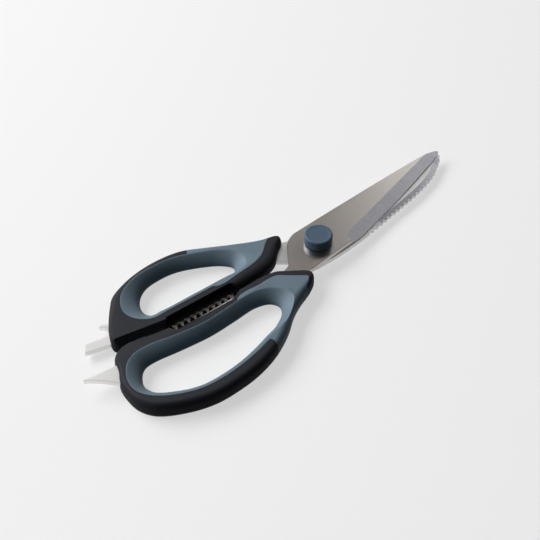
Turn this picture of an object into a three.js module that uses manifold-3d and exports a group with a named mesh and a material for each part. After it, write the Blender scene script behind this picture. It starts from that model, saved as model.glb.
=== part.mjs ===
// Utility shears lying closed on a table. Millimetres, +Z up.
// The pivot axis is the Z axis, Z = 0 is the table, and +X runs from the pivot to the closed tip.
// Handle outlines are drawn in a handle frame: u runs back from the pivot, v out to the thumb side.

import * as THREE from "three";
import { mergeVertices } from "three/addons/utils/BufferGeometryUtils.js";
import Module from "manifold-3d";

// Overall
const handleThickness = 9;
const handleBend = 9.5;
const rollShare = 0.39;
const seat = 0.3;

// Blades, from the pivot
const bladeThickness = 2.3;
const bladePlay = 0.3;
const bladeReach = 90.3;
const bladeBack = 12;
const bladeHeel = 10.1;
const bladeBelly = 11.3;
const edgeStart = 17;
const edgeLead = 6.4;
const bevelWidth = 5.6;
const edgeLand = 0.4;
const grindRound = 6;
const tangWidth = 3.4;
const tangInset = 2.7;

// Fish scaler on the back of the lower blade
const scalerBelly = 11.8;
const scalerStart = 25;
const scalerPitch = 3.15;
const scalerDepth = 1.2;
const scalerMouth = 2.9;
const scalerGrind = 18;
const scalerWidth = 2.6;
const scalerLead = 8;

// Nut cracker between the handles
const crackerStart = 46.8;
const crackerLength = 41.4;
const crackerReach = 0.6;
const crackerPitch = 3.4;
const crackerTooth = 1.7;
const crackerMouth = 3.2;
const crackerRelief = 0.6;
const crackerMargin = 2.7;
const crackerRamp = 3.2;
const crackerSweep = 10;

// Split between the closed handles, and the lug that stops them
const splitDrop = 2.4;
const splitGap = 2;
const splitRise = 3.5;
const lugDiameter = 6;
const lugHeight = 3;

// Thumb loop: its hole, and the bands of material around the hole
const thumbFront = 41;
const thumbLength = 48.1;
const thumbWidth = 18.1;
const thumbBar = 9.2;
const thumbRing = 10;
const thumbRear = 22.3;
const thumbNose = 28.4;

// Finger loop
const fingerFront = 39.4;
const fingerLength = 73.7;
const fingerWidth = 23.8;
const fingerBar = 11.1;
const fingerRing = 9.3;
const fingerRear = 9.3;
const fingerNose = 24.3;

// Soft grip over the hard core
const seamMargin = 0.2;
const gripFlat = 0.4;
const gripSkin = 1.4;
const gripCover = 2.8;

// Tools on the ends of the tangs
const prongLength = 11.5;
const prongWidth = 5.4;
const clawLength = 19.7;
const clawBase = 11.7;

// Pivot
const threadDiameter = 5;
const shoulderStep = 0.5;
const headDiameter = 12;
const headChamfer = 0.5;
const washerThickness = 0.8;
const nutFlats = 8;
const capDiameter = 13.4;
const capHeight = 5;
const capWall = 1.2;
const capRoof = 1;
const capRound = 0.8;

// Fineness of the facets
const knotSteps = 3;
const edgeSteps = 4;
const arcSteps = 8;
const bandSteps = 20;
const roundSteps = 32;

// Heights that follow from the sizes above
const middle = handleThickness / 2;
const rollHeight = rollShare * handleThickness;
const upperFloor = middle + bladePlay / 2;
const upperTop = upperFloor + bladeThickness;
const lowerTop = middle - bladePlay / 2;
const lowerFloor = lowerTop - bladeThickness;
const below = -1;
const above = handleThickness + 1;

// Sides of the split and of the finger holes, in the handle frame
const thumbFace = splitGap / 2 - splitDrop;
const thumbInner = thumbFace + thumbBar;
const thumbOuter = thumbInner + thumbWidth;
const thumbBack = thumbFront + thumbLength;
const thumbEnd = thumbBack + thumbRear;
const thumbTip = thumbFront - thumbNose;
const fingerFace = -splitGap / 2 - splitDrop;
const fingerInner = fingerFace - fingerBar;
const fingerOuter = fingerInner - fingerWidth;
const fingerBack = fingerFront + fingerLength;
const fingerEnd = fingerBack + fingerRear;
const fingerTip = fingerFront - fingerNose;
const crackerEnd = crackerStart + crackerLength;
const crackerTeethStart = crackerStart + crackerMargin;
const crackerCount = Math.floor((crackerLength - 2 * crackerMargin) / crackerPitch);
const splitTurn = crackerEnd - crackerRamp;
const thumbSplitEnd = thumbEnd - 4.9;
const fingerSplitEnd = fingerBack - 6.6;
const splitRun = Math.min(thumbSplitEnd, fingerSplitEnd) - splitTurn;
const lugPlace = splitTurn + 0.65 * splitRun;
const lugRise = 0.57 * splitRise;

const wasm = await Module();
wasm.setup();
const bend = THREE.MathUtils.degToRad(handleBend);

const at = (x, y) => new THREE.Vector2(x, y);

function inHandle(u, v) {
  return at(v * Math.sin(bend) - u * Math.cos(bend), u * Math.sin(bend) + v * Math.cos(bend));
}

// Solids

function solid(geometry) {
  const bare = geometry.clone();
  bare.deleteAttribute("normal");
  bare.deleteAttribute("uv");
  const merged = mergeVertices(bare, 1e-4);
  return new wasm.Manifold(new wasm.Mesh({
    numProp: 3,
    vertProperties: new Float32Array(merged.attributes.position.array),
    triVerts: new Uint32Array(merged.index.array),
  }));
}

function counterClockwise(loop) {
  return THREE.ShapeUtils.isClockWise(loop) ? loop.slice().reverse() : loop;
}

// A closed skin through loops of equal count, from the lowest level to the highest.
function loft(levels) {
  const count = levels[0].loop.length;
  const last = (levels.length - 1) * count;
  const positions = levels.flatMap(({ loop, z }) => loop.flatMap((p) => [p.x, p.y, z]));
  const index = [];
  for (let row = 0; row < last; row += count) {
    for (let i = 0; i < count; i += 1) {
      const a = row + i;
      const b = row + ((i + 1) % count);
      index.push(a, b, b + count, a, b + count, a + count);
    }
  }
  for (const [a, b, c] of THREE.ShapeUtils.triangulateShape(levels[0].loop, [])) {
    index.push(a, c, b);
  }
  for (const [a, b, c] of THREE.ShapeUtils.triangulateShape(levels.at(-1).loop, [])) {
    index.push(last + a, last + b, last + c);
  }
  const geometry = new THREE.BufferGeometry();
  geometry.setAttribute("position", new THREE.Float32BufferAttribute(positions, 3));
  geometry.setIndex(index);
  return solid(geometry);
}

function prism(points, low, high) {
  const loop = counterClockwise(points);
  return loft([{ loop, z: low }, { loop, z: high }]);
}

// A plate from a shape, with a clearance grown on every side where one is asked for.
function plate(shape, low, high, clearance = 0) {
  const geometry = new THREE.ExtrudeGeometry(shape, {
    depth: high - low,
    bevelEnabled: clearance > 0,
    bevelSize: clearance,
    bevelThickness: clearance,
    bevelSegments: 1,
    curveSegments: arcSteps,
  });
  return solid(geometry.translate(0, 0, low));
}

function turned(profile, steps = roundSteps) {
  const geometry = new THREE.LatheGeometry(profile.map(([r, z]) => at(r, z)), steps);
  return solid(geometry.rotateX(Math.PI / 2));
}

function disc(diameter, low, high, steps = roundSteps) {
  return turned([[0, low], [diameter / 2, low], [diameter / 2, high], [0, high]], steps);
}

// Handles

// A smooth closed outline in the handle frame: a knot is u, v and the width of its rolled edge.
function outline(knots) {
  const curve = new THREE.CatmullRomCurve3(
    knots.map(([u, v, width]) => new THREE.Vector3(u, v, width)),
    true,
    "centripetal",
  );
  const loop = counterClockwise(
    curve.getPoints(knots.length * knotSteps).slice(1).map((p) => {
      const { x, y } = inHandle(p.x, p.y);
      return new THREE.Vector3(x, y, p.z);
    }),
  );
  return loop.map((p, i) => {
    const before = loop.at(i - 1);
    const after = loop[(i + 1) % loop.length];
    const normal = at(after.y - before.y, before.x - after.x).normalize();
    return { point: at(p.x, p.y), normal, width: p.z };
  });
}

function offset(line, distance) {
  return line.map((p) => p.point.clone().addScaledVector(p.normal, distance(p)));
}

// Levels of an edge that rolls over from the upright side of the handle to both of its faces.
function rolled(line, direction) {
  const lower = [];
  const upper = [];
  for (let step = 0; step <= edgeSteps; step += 1) {
    const angle = (step / edgeSteps) * (Math.PI / 2);
    const height = rollHeight * (1 - Math.sin(angle));
    const roll = direction * (1 - Math.cos(angle));
    const loop = offset(line, (p) => roll * p.width);
    lower.unshift({ z: height, loop });
    upper.push({ z: handleThickness - height, loop });
  }
  return [...lower, ...upper];
}

function handleBody(rim, lip) {
  const hole = rolled(lip, 1);
  hole.unshift({ z: below, loop: hole[0].loop });
  hole.push({ z: above, loop: hole.at(-1).loop });
  return loft(rolled(rim, -1)).subtract(loft(hole));
}

// The hard core, and the soft grip that wraps the rib of the core.
function coreAndGrip(rim, lip, shoulder) {
  const body = handleBody(rim, lip);
  const softRegion = (gap) => {
    const ring = prism(offset(lip, (p) => (1 + gripFlat) * p.width + seamMargin + gap), below, above);
    return ring.add(plate(shoulder, below, above, gap));
  };
  const rib = (gap) => {
    const low = gripCover - gap;
    const high = handleThickness - gripCover + gap;
    const outer = prism(offset(rim, (p) => gap - Math.min(gripSkin, p.width)), low, high);
    return outer.subtract(prism(offset(lip, () => gripSkin - gap), below, above));
  };
  const hard = body.subtract(softRegion(seat).subtract(rib(0)));
  const soft = body.intersect(softRegion(0)).subtract(rib(seat));
  return { hard, soft };
}

// The space that the nut cracker takes out of one handle, with a ramp at its front end.
function crackerRecess(face, inward, wall, ramp) {
  const corners = [
    [crackerStart, -splitGap],
    [crackerStart, 0],
    [crackerStart + ramp, wall],
    [crackerEnd - crackerRamp, wall],
    [crackerEnd, 0],
    [crackerEnd, -splitGap],
  ];
  return prism(corners.map(([u, depth]) => inHandle(u, face + inward * depth)), below, above);
}

const riseAt = (u) => (splitRise * (u - splitTurn)) / splitRun;

// Along the split the two handles keep one gap: straight past the nut cracker, then rising to the rear.
function splitKnots(face, end) {
  return [
    [crackerStart, face, 1.4],
    [splitTurn, face, 1.4],
    [lugPlace, face + lugRise, 1.4],
    [end, face + riseAt(end), 1.4],
  ];
}

function thumbRim() {
  const crest = thumbOuter + thumbRing;
  const rise = thumbFace + riseAt(thumbSplitEnd);
  return outline([
    [thumbEnd, rise + 3.1, 1.4],
    [thumbEnd - 2.4, thumbFace + 13, 1.5],
    [thumbEnd - 6.6, thumbOuter - 7.7, 2],
    [thumbEnd - 10.9, thumbOuter - 2, 2.8],
    [thumbBack + 7.4, crest - 7.6, 3],
    [thumbBack - 2.2, crest - 3.3, 3],
    [thumbBack - 12.2, crest - 1, 3],
    [thumbBack - 22.8, crest - 0.5, 3],
    [thumbFront + 14.2, crest - 2.1, 3],
    [thumbFront + 3, crest - 7.5, 3],
    [thumbFront - 8.1, thumbInner + 14.7, 2.8],
    [thumbTip + 9.6, thumbInner + 9.5, 2.3],
    [thumbTip + 1.2, thumbInner + 6.6, 1.4],
    [thumbTip, thumbInner + 4.6, 1.2],
    [thumbTip + 0.9, thumbInner + 2.8, 1.4],
    [thumbTip + 5.5, thumbFace + 8.6, 1.8],
    [thumbTip + 9.9, thumbFace + 4.5, 1.8],
    [thumbTip + 12.7, thumbFace + 2.8, 2],
    [thumbFront - 10.6, thumbFace + 1.3, 1.6],
    [thumbFront - 0.6, thumbFace + 0.4, 1.4],
    ...splitKnots(thumbFace, thumbSplitEnd),
    [thumbEnd - 1, rise + 1, 1.4],
  ]);
}

function thumbLip() {
  const knot = (along, across, flare) =>
    [thumbFront + along * thumbLength, thumbInner + across * thumbWidth, flare];
  return outline([
    knot(-0.011, 0.23, 4.6),
    knot(0.042, 0.026, 2.8),
    knot(0.25, -0.031, 1.6),
    knot(0.55, -0.031, 1.6),
    knot(0.853, -0.03, 1.6),
    knot(0.978, 0.066, 3.2),
    knot(1.012, 0.316, 5.9),
    knot(0.965, 0.66, 5.8),
    knot(0.824, 0.957, 4.3),
    knot(0.63, 1.042, 3.7),
    knot(0.446, 0.996, 3.7),
    knot(0.191, 0.714, 3.9),
    knot(0.057, 0.477, 4.5),
  ]);
}

function thumbShoulder() {
  const seam = thumbInner - 3.2;
  const shape = new THREE.Shape();
  const corners = [
    [thumbFront + 16, seam],
    [thumbFront + 0.4, seam - 0.1],
    [thumbFront - 9.6, seam + 1.5],
    [thumbTip + 14.1, seam + 3.6],
    [thumbTip + 9.7, seam + 7.4],
    [thumbTip + 4.7, seam + 12],
    [thumbTip + 4.7, thumbOuter + thumbRing],
    [thumbFront + 10.6, thumbOuter + thumbRing + 3],
    [thumbFront + 12.2, thumbOuter + 5],
    [thumbFront + 16, thumbOuter],
  ];
  return shape.setFromPoints(corners.map(([u, v]) => inHandle(u, v)));
}

function fingerRim() {
  const crest = fingerOuter - fingerRing;
  const rise = fingerFace + riseAt(fingerSplitEnd);
  return outline([
    [fingerBack - 1.4, rise - 0.8, 1.4],
    [fingerBack + 2.7, rise - 3.5, 1.4],
    [fingerBack + 5.3, fingerInner + 4, 1.6],
    [fingerEnd - 0.9, fingerInner - 1.8, 2],
    [fingerEnd, fingerInner - 8, 2],
    [fingerEnd - 0.7, fingerInner - 15.6, 2.1],
    [fingerEnd - 5.1, fingerOuter + 1, 2.4],
    [fingerBack - 8.1, crest + 3.3, 2.8],
    [fingerBack - 20.6, crest, 3],
    [fingerBack - 34.7, crest + 0.2, 3],
    [fingerBack - 45, crest + 1.8, 3],
    [fingerFront + 17.3, crest + 5.6, 3],
    [fingerFront + 6.3, crest + 11.8, 3],
    [fingerFront - 2.9, fingerInner - 14.1, 2.8],
    [fingerTip + 14.9, fingerInner - 10.3, 2.5],
    [fingerTip + 6.2, fingerInner - 6.3, 2],
    [fingerTip + 0.6, fingerInner - 2.2, 1.4],
    [fingerTip, fingerInner - 0.1, 1.2],
    [fingerTip + 2.2, fingerInner + 2.8, 1.4],
    [fingerTip + 8.1, fingerInner + 7, 1.6],
    [fingerTip + 13.3, fingerFace - 0.6, 1.8],
    [fingerFront - 4.2, fingerFace + 0.3, 1.5],
    ...splitKnots(fingerFace, fingerSplitEnd),
  ]);
}

function fingerLip() {
  const knot = (along, across, flare) =>
    [fingerFront + along * fingerLength, fingerInner - across * fingerWidth, flare];
  return outline([
    knot(-0.008, 0.263, 5.3),
    knot(0.022, 0.082, 4.4),
    knot(0.118, -0.004, 3.9),
    knot(0.261, 0.029, 3.8),
    knot(0.46, 0.068, 3.7),
    knot(0.666, 0.026, 3.7),
    knot(0.85, -0.031, 3.8),
    knot(0.923, -0.001, 3.9),
    knot(0.978, 0.159, 4.4),
    knot(1.008, 0.402, 4),
    knot(0.969, 0.657, 2.8),
    knot(0.878, 0.878, 1.9),
    knot(0.756, 1.015, 1.7),
    knot(0.616, 1.031, 1.8),
    knot(0.479, 0.988, 1.8),
    knot(0.348, 0.894, 2),
    knot(0.215, 0.741, 2.5),
    knot(0.112, 0.619, 3.2),
    knot(0.026, 0.453, 4.6),
  ]);
}

function fingerShoulder() {
  const shape = new THREE.Shape();
  const corners = [
    [fingerFront + 14, fingerInner + 6],
    [fingerFront, fingerInner + 7.4],
    [fingerFront - 5, fingerInner + 7.7],
    [fingerTip + 15.1, fingerInner + 7.1],
    [fingerTip + 10.5, fingerInner + 3.6],
    [fingerTip + 7, fingerInner + 0.9],
    [fingerTip + 4, fingerInner - 1.7],
    [fingerTip + 5.3, fingerInner - 3.9],
    [fingerTip + 7.7, fingerInner - 5.9],
    [fingerTip + 9.4, fingerInner - 14],
    [fingerFront + 17.6, fingerOuter - fingerRing - 4],
    [fingerFront + 16.8, fingerOuter - fingerRing + 3],
    [fingerFront + 16, fingerOuter + 0.4],
    [fingerFront + 18, fingerOuter + 4],
  ];
  return shape.setFromPoints(corners.map(([u, v]) => inHandle(u, v)));
}

// Blades: each blade and its tang is one plate of steel.

function line(shape, end) {
  shape.lineTo(end.x, end.y);
}

function arc(shape, control, end) {
  shape.quadraticCurveTo(control.x, control.y, end.x, end.y);
}

const bladeTip = at(bladeReach, 0.2);
const upperEdgeEnd = at(bladeReach - 2.4, -0.9);
const upperBevelEnd = at(bladeReach - 1.5, -2.1);
const lowerEdgeStart = at(edgeStart - 5, bladeBack - 2.4);
const lowerEdgeEnd = at(bladeReach - 4, 1.2);

function upperBladeShape() {
  const face = fingerFace - tangInset;
  const outer = face - tangWidth;
  const shape = new THREE.Shape();
  shape.moveTo(bladeTip.x, bladeTip.y);
  arc(shape, at(bladeReach - 0.4, 1.1), at(bladeReach - 2.1, 1.5));
  arc(shape, at(bladeReach - 5.8, 2.7), at(bladeReach - 14.3, 4));
  arc(shape, at(bladeReach / 3, bladeBack - 2.8), at(-3, bladeBack + 0.1));
  arc(shape, at(-7.6, bladeBack + 0.1), at(-11.6, bladeBack - 2.6));
  line(shape, at(-20.4, 0.2));
  arc(shape, at(-22.3, -1.6), inHandle(28, face));
  line(shape, inHandle(fingerBack - 9, face));
  arc(shape, inHandle(fingerBack - 4, face), inHandle(fingerBack, face - 0.8));
  arc(shape, inHandle(fingerBack + 9, face - 1), inHandle(fingerBack + clawLength, face + 0.6));
  arc(shape, inHandle(fingerBack + 12.1, face - 4.8), inHandle(fingerBack + 7.2, face - clawBase));
  line(shape, inHandle(fingerBack + 3.6, face - clawBase - 0.8));
  arc(shape, inHandle(fingerBack - 0.6, outer - 0.4), inHandle(fingerBack - 12, outer));
  line(shape, inHandle(36, outer));
  arc(shape, inHandle(26, outer), inHandle(20, outer - 2.4));
  line(shape, at(-14, -bladeHeel));
  arc(shape, at(2, -bladeHeel), at(edgeStart, -bladeBelly));
  arc(shape, at(bladeReach - 38, -8), upperEdgeEnd);
  arc(shape, at(bladeReach - 0.3, -0.6), bladeTip);
  return shape;
}

function lowerBladeShape() {
  const face = thumbFace + tangInset;
  const outer = face + tangWidth;
  const prong = (along, across) => inHandle(thumbEnd + along, thumbFace + 8.1 + 0.22 * along + across);
  const shape = new THREE.Shape();
  shape.moveTo(bladeTip.x, bladeTip.y);
  arc(shape, at(bladeReach - 1.6, 0.8), lowerEdgeEnd);
  arc(shape, at(bladeReach / 2, bladeBack - 5.4), lowerEdgeStart);
  arc(shape, at(2, bladeBack - 1.6), at(-5, bladeBack - 1));
  line(shape, inHandle(thumbTip, thumbInner + 4.4));
  arc(shape, inHandle(thumbTip + 7, thumbInner + 3), inHandle(thumbTip + 14, outer + 1.6));
  arc(shape, inHandle(thumbTip + 19, outer), inHandle(thumbFront - 2, outer));
  line(shape, inHandle(thumbBack - 2, outer));
  arc(shape, inHandle(thumbBack + 5, outer), inHandle(thumbBack + 8, outer + 5));
  line(shape, inHandle(thumbEnd - 5, thumbFace + 19.6));
  line(shape, inHandle(thumbEnd - 2.3, thumbFace + 20.6));
  line(shape, inHandle(thumbEnd - 1.8, thumbFace + 19.9));
  arc(shape, inHandle(thumbEnd - 6.4, thumbFace + 17), prong(-1.8, prongWidth));
  line(shape, prong(prongLength - 3, prongWidth - 0.6));
  line(shape, prong(prongLength, 0));
  line(shape, prong(-1, 0));
  arc(shape, inHandle(thumbBack + 9, face + 1), inHandle(thumbBack, face));
  line(shape, inHandle(32, face));
  arc(shape, inHandle(26, face), at(-21.2, 7.4));
  line(shape, at(-17.6, 3.4));
  arc(shape, at(-13.6, -0.6), at(-12.6, -7.4));
  arc(shape, at(-12, -9), lowerHeel);
  shape.splineThru(lowerBackKnots);
  return shape;
}

const lowerHeel = at(-9, 0.9 - bladeHeel);
const lowerBackKnots = [
  at(4, -bladeHeel - 0.9),
  at(scalerStart - 3, -scalerBelly),
  at(bladeReach * 0.48, -scalerBelly + 0.4),
  at(bladeReach * 0.68, -scalerBelly + 1.2),
  at(bladeReach * 0.83, -scalerBelly + 3.3),
  at(bladeReach - 6, -scalerBelly + 6.9),
  at(bladeReach - 1.2, -2.2),
  bladeTip,
];

// A ground flat that starts on a line across one face of a blade and falls away to one side of it.
// Its near end is a round wall.
function ground(from, to, start, face, slope, side, upward) {
  const far = 2 * bladeReach;
  const lead = start - from.x;
  const along = to.clone().sub(from).normalize();
  const uphill = along.clone().rotateAround(at(0, 0), (-side * Math.PI) / 2);
  const place = (s, t) => from.clone().addScaledVector(along, s).addScaledVector(uphill, t);
  const level = (depth) => ({
    loop: counterClockwise([place(-far, -far), place(far, -far), place(far, -depth), place(-far, -depth)]),
    z: face - upward * slope * depth,
  });
  const levels = [level(bladeThickness / slope), level(-seat)];
  const wedge = loft(upward > 0 ? levels : levels.reverse());
  const reach = [place(lead, -far), place(far, -far), place(far, seat)];
  for (let step = 0; step <= arcSteps; step += 1) {
    const angle = (Math.PI / 2) * (1 + step / arcSteps);
    const s = lead + grindRound * (1 + Math.cos(angle));
    reach.push(place(s, seat + grindRound * (Math.sin(angle) - 1)));
  }
  return wedge.intersect(prism(reach, below, above));
}

function cuttingBevel(from, to, start, face, side, upward) {
  const slope = (bladeThickness - edgeLand) / bevelWidth;
  const inward = to.clone().sub(from).normalize().rotateAround(at(0, 0), (-side * Math.PI) / 2);
  inward.multiplyScalar(bevelWidth);
  return ground(from.clone().add(inward), to.clone().add(inward), start, face, slope, side, upward);
}

// A row of pointed teeth that stands out of the lower tang into the nut cracker.
function crackerTeeth() {
  const tip = thumbFace - crackerReach;
  const valley = tip + crackerTooth;
  const root = thumbFace + tangInset + tangWidth / 2;
  const end = crackerTeethStart + crackerCount * crackerPitch;
  const points = [inHandle(end, root), inHandle(crackerTeethStart, root)];
  for (let i = 0; i < crackerCount; i += 1) {
    const u = crackerTeethStart + i * crackerPitch;
    points.push(inHandle(u, valley), inHandle(u + crackerPitch / 2, tip));
  }
  points.push(inHandle(end, valley));
  return prism(points, lowerFloor, lowerTop);
}

// The notches of the nut cracker, cut into the upper tang.
function crackerNotches() {
  const face = fingerFace - tangInset;
  const notches = [];
  for (let i = 0; i < crackerCount; i += 1) {
    const u = crackerTeethStart + (i + 0.5) * crackerPitch;
    const notch = [
      inHandle(u - crackerMouth / 2, face + seat),
      inHandle(u + crackerMouth / 2, face + seat),
      inHandle(u, face - crackerTooth),
    ];
    notches.push(prism(notch, below, above));
  }
  return notches;
}

const lowerBack = new THREE.SplineCurve([lowerHeel, ...lowerBackKnots]);

// The ground band that follows the back of the lower blade and runs out at both of its ends.
function scalerBand() {
  const slope = Math.tan(THREE.MathUtils.degToRad(scalerGrind));
  const reach = bladeThickness / slope;
  const length = lowerBack.getLength();
  const first = scalerStart - lowerHeel.x;
  const level = (depth) => {
    const inner = [];
    const outer = [];
    for (let step = 0; step <= bandSteps; step += 1) {
      const s = first + ((length - first) * step) / bandSteps;
      const along = lowerBack.getTangentAt(s / length);
      const outward = at(along.y, -along.x);
      const point = lowerBack.getPointAt(s / length);
      const width = scalerWidth * Math.min(1, (s - first) / scalerLead, (length - s) / scalerLead);
      inner.push(point.clone().addScaledVector(outward, depth - width));
      outer.push(point.clone().addScaledVector(outward, 2 * reach));
    }
    return { loop: counterClockwise([...inner, ...outer.reverse()]), z: lowerTop - slope * depth };
  };
  return loft([level(reach), level(-seat)]);
}

// The notches of the scaler, cut across the back of the lower blade.
function scalerNotches() {
  const length = lowerBack.getLength();
  const notches = [];
  for (let s = scalerStart - lowerHeel.x; s < length - scalerPitch; s += scalerPitch) {
    const point = lowerBack.getPointAt(s / length);
    const along = lowerBack.getTangentAt(s / length);
    const outward = at(along.y, -along.x);
    const half = along.clone().multiplyScalar(scalerMouth / 2);
    const mouth = point.clone().addScaledVector(outward, seat);
    const notch = [
      mouth.clone().add(half),
      mouth.clone().sub(half),
      point.clone().addScaledVector(outward, -scalerDepth),
    ];
    notches.push(prism(notch, below, above));
  }
  return notches;
}

const pivotBore = disc(threadDiameter + 2 * (shoulderStep + seat), below, above);

function upperBlade() {
  const heel = at(edgeStart, -bladeBelly);
  const bevel = cuttingBevel(heel, upperBevelEnd, edgeStart - edgeLead, upperTop, -1, 1);
  let blade = plate(upperBladeShape(), upperFloor, upperTop)
    .subtract(bevel)
    .subtract(pivotBore);
  for (const notch of crackerNotches()) {
    blade = blade.subtract(notch);
  }
  return blade;
}

function lowerBlade() {
  const bevel = cuttingBevel(lowerEdgeStart, lowerEdgeEnd, edgeStart - edgeLead, lowerFloor, 1, -1);
  let blade = plate(lowerBladeShape(), lowerFloor, lowerTop)
    .add(crackerTeeth())
    .subtract(bevel)
    .subtract(scalerBand())
    .subtract(pivotBore);
  for (const notch of scalerNotches()) {
    blade = blade.subtract(notch);
  }
  return blade;
}

function tangSlot(shape, low, high) {
  return plate(shape, low, high, seat);
}

function thumbHandle() {
  const { hard, soft } = coreAndGrip(thumbRim(), thumbLip(), thumbShoulder());
  const slot = tangSlot(lowerBladeShape(), lowerFloor, lowerTop);
  const { x, y } = inHandle(lugPlace, fingerFace + lugRise + seat + lugDiameter / 2);
  const lug = disc(lugDiameter, middle - lugHeight / 2, middle + lugHeight / 2).translate([x, y, 0]);
  const hollow = slot.add(crackerRecess(thumbFace, 1, tangInset + crackerRelief, crackerRamp));
  return { hard: hard.add(lug).subtract(hollow), soft: soft.subtract(slot) };
}

function fingerHandle() {
  const { hard, soft } = coreAndGrip(fingerRim(), fingerLip(), fingerShoulder());
  const slot = tangSlot(upperBladeShape(), upperFloor, upperTop);
  const wall = tangInset + crackerTooth + seat;
  const hollow = slot.add(crackerRecess(fingerFace, -1, wall, crackerSweep));
  return { hard: hard.subtract(hollow), soft: soft.subtract(slot) };
}

// Pivot hardware, stacked up from the table

const washerFloor = upperTop + seat;
const nutFloor = washerFloor + washerThickness + seat;
const capTop = upperTop + capHeight;
const nutTop = capTop - capRoof - seat;
const hexAcross = (flats) => (flats * 2) / Math.sqrt(3);

function pivotBolt() {
  const headTop = lowerFloor - seat;
  const shoulder = threadDiameter / 2 + shoulderStep;
  return turned([
    [0, 0],
    [headDiameter / 2 - headChamfer, 0],
    [headDiameter / 2, headChamfer],
    [headDiameter / 2, headTop],
    [shoulder, headTop],
    [shoulder, upperTop],
    [threadDiameter / 2, upperTop],
    [threadDiameter / 2, nutTop],
    [0, nutTop],
  ]);
}

function pivotWasher() {
  const outer = disc(capDiameter - 2 * (capWall + seat), washerFloor, washerFloor + washerThickness);
  return outer.subtract(disc(threadDiameter + 2 * seat, below, 3 * above));
}

function pivotNut() {
  const blank = disc(hexAcross(nutFlats), nutFloor, nutTop, 6);
  return blank.subtract(disc(threadDiameter + 2 * seat, below, 3 * above));
}

function pivotCap() {
  const radius = capDiameter / 2;
  const profile = [[0, upperTop + seat], [radius, upperTop + seat]];
  for (let step = 0; step <= edgeSteps; step += 1) {
    const angle = (step / edgeSteps) * (Math.PI / 2);
    const inset = capRound * (1 - Math.cos(angle));
    profile.push([radius - inset, capTop - capRound * (1 - Math.sin(angle))]);
  }
  profile.push([0, capTop]);
  const skirt = disc(capDiameter - 2 * capWall, below, nutFloor);
  const socket = disc(hexAcross(nutFlats + 2 * seat), below, nutTop + seat, 6);
  return turned(profile).subtract(skirt).subtract(socket);
}

// The scene

const steel = new THREE.MeshStandardMaterial({ color: 0xa7a39d, roughness: 0.35, metalness: 1 });
const hardware = new THREE.MeshStandardMaterial({ color: 0xb9b9b6, roughness: 0.3, metalness: 1 });
const hardPlastic = new THREE.MeshStandardMaterial({ color: 0x232327, roughness: 0.5, metalness: 0 });
const softGrip = new THREE.MeshStandardMaterial({ color: 0x5f7482, roughness: 0.65, metalness: 0 });
const capPlastic = new THREE.MeshStandardMaterial({ color: 0x58707f, roughness: 0.4, metalness: 0 });

function piece(name, shape, material) {
  const { vertProperties, triVerts } = shape.getMesh();
  const geometry = new THREE.BufferGeometry();
  geometry.setAttribute("position", new THREE.BufferAttribute(vertProperties, 3));
  geometry.setIndex(new THREE.BufferAttribute(triVerts, 1));
  geometry.computeVertexNormals();
  const mesh = new THREE.Mesh(geometry, material);
  mesh.name = name;
  return mesh;
}

const thumb = thumbHandle();
const finger = fingerHandle();

const lowerHalf = new THREE.Group();
lowerHalf.add(
  piece("lower_blade", lowerBlade(), steel),
  piece("thumb_handle_core", thumb.hard, hardPlastic),
  piece("thumb_handle_grip", thumb.soft, softGrip),
  piece("pivot_bolt", pivotBolt(), hardware),
  piece("pivot_washer", pivotWasher(), hardware),
  piece("pivot_nut", pivotNut(), hardware),
  piece("pivot_cap", pivotCap(), capPlastic),
);

const upperHalf = new THREE.Group();
upperHalf.add(
  piece("upper_blade", upperBlade(), steel),
  piece("finger_handle_core", finger.hard, hardPlastic),
  piece("finger_handle_grip", finger.soft, softGrip),
);

const shears = new THREE.Group();
shears.name = "utility_shears";
shears.add(lowerHalf, upperHalf);

export default shears;
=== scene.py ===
# %% [markdown]
# # Utility shears
# Two steel blades turn on one capped pivot. Each blade runs back as a tang through a handle that is
# moulded from two plastics, a hard black core and a soft blue-grey grip around the finger hole.
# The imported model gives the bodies, the joint and the space of every piece. This lesson remakes the
# pieces that show with finer surfaces and gives each one its finish.

# %% Load the frame
import math

import bmesh
import bpy
import numpy as np
from mathutils import Matrix, Vector


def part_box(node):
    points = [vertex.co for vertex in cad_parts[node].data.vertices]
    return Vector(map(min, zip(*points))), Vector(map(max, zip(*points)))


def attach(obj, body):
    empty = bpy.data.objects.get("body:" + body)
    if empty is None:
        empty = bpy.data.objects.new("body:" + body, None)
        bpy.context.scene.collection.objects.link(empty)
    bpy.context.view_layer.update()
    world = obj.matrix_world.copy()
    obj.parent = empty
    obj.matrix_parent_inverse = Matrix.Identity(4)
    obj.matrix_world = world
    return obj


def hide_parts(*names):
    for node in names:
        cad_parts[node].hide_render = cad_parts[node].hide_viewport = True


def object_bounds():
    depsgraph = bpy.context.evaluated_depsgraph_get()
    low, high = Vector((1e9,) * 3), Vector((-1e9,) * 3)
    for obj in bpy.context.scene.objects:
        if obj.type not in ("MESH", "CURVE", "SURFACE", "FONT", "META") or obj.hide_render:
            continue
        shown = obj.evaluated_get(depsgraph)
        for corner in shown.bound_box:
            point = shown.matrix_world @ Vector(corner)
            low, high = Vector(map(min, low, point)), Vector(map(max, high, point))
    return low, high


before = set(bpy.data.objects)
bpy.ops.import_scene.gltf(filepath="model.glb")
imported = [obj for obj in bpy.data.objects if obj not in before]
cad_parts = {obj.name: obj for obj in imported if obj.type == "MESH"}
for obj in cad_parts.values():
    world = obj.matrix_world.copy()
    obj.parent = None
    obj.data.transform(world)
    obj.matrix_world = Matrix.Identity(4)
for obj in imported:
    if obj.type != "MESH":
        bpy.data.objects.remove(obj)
cad_low, cad_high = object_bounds()
print("CAD box in mm:", [round(1000 * (b - a), 2) for a, b in zip(cad_low, cad_high)])

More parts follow.
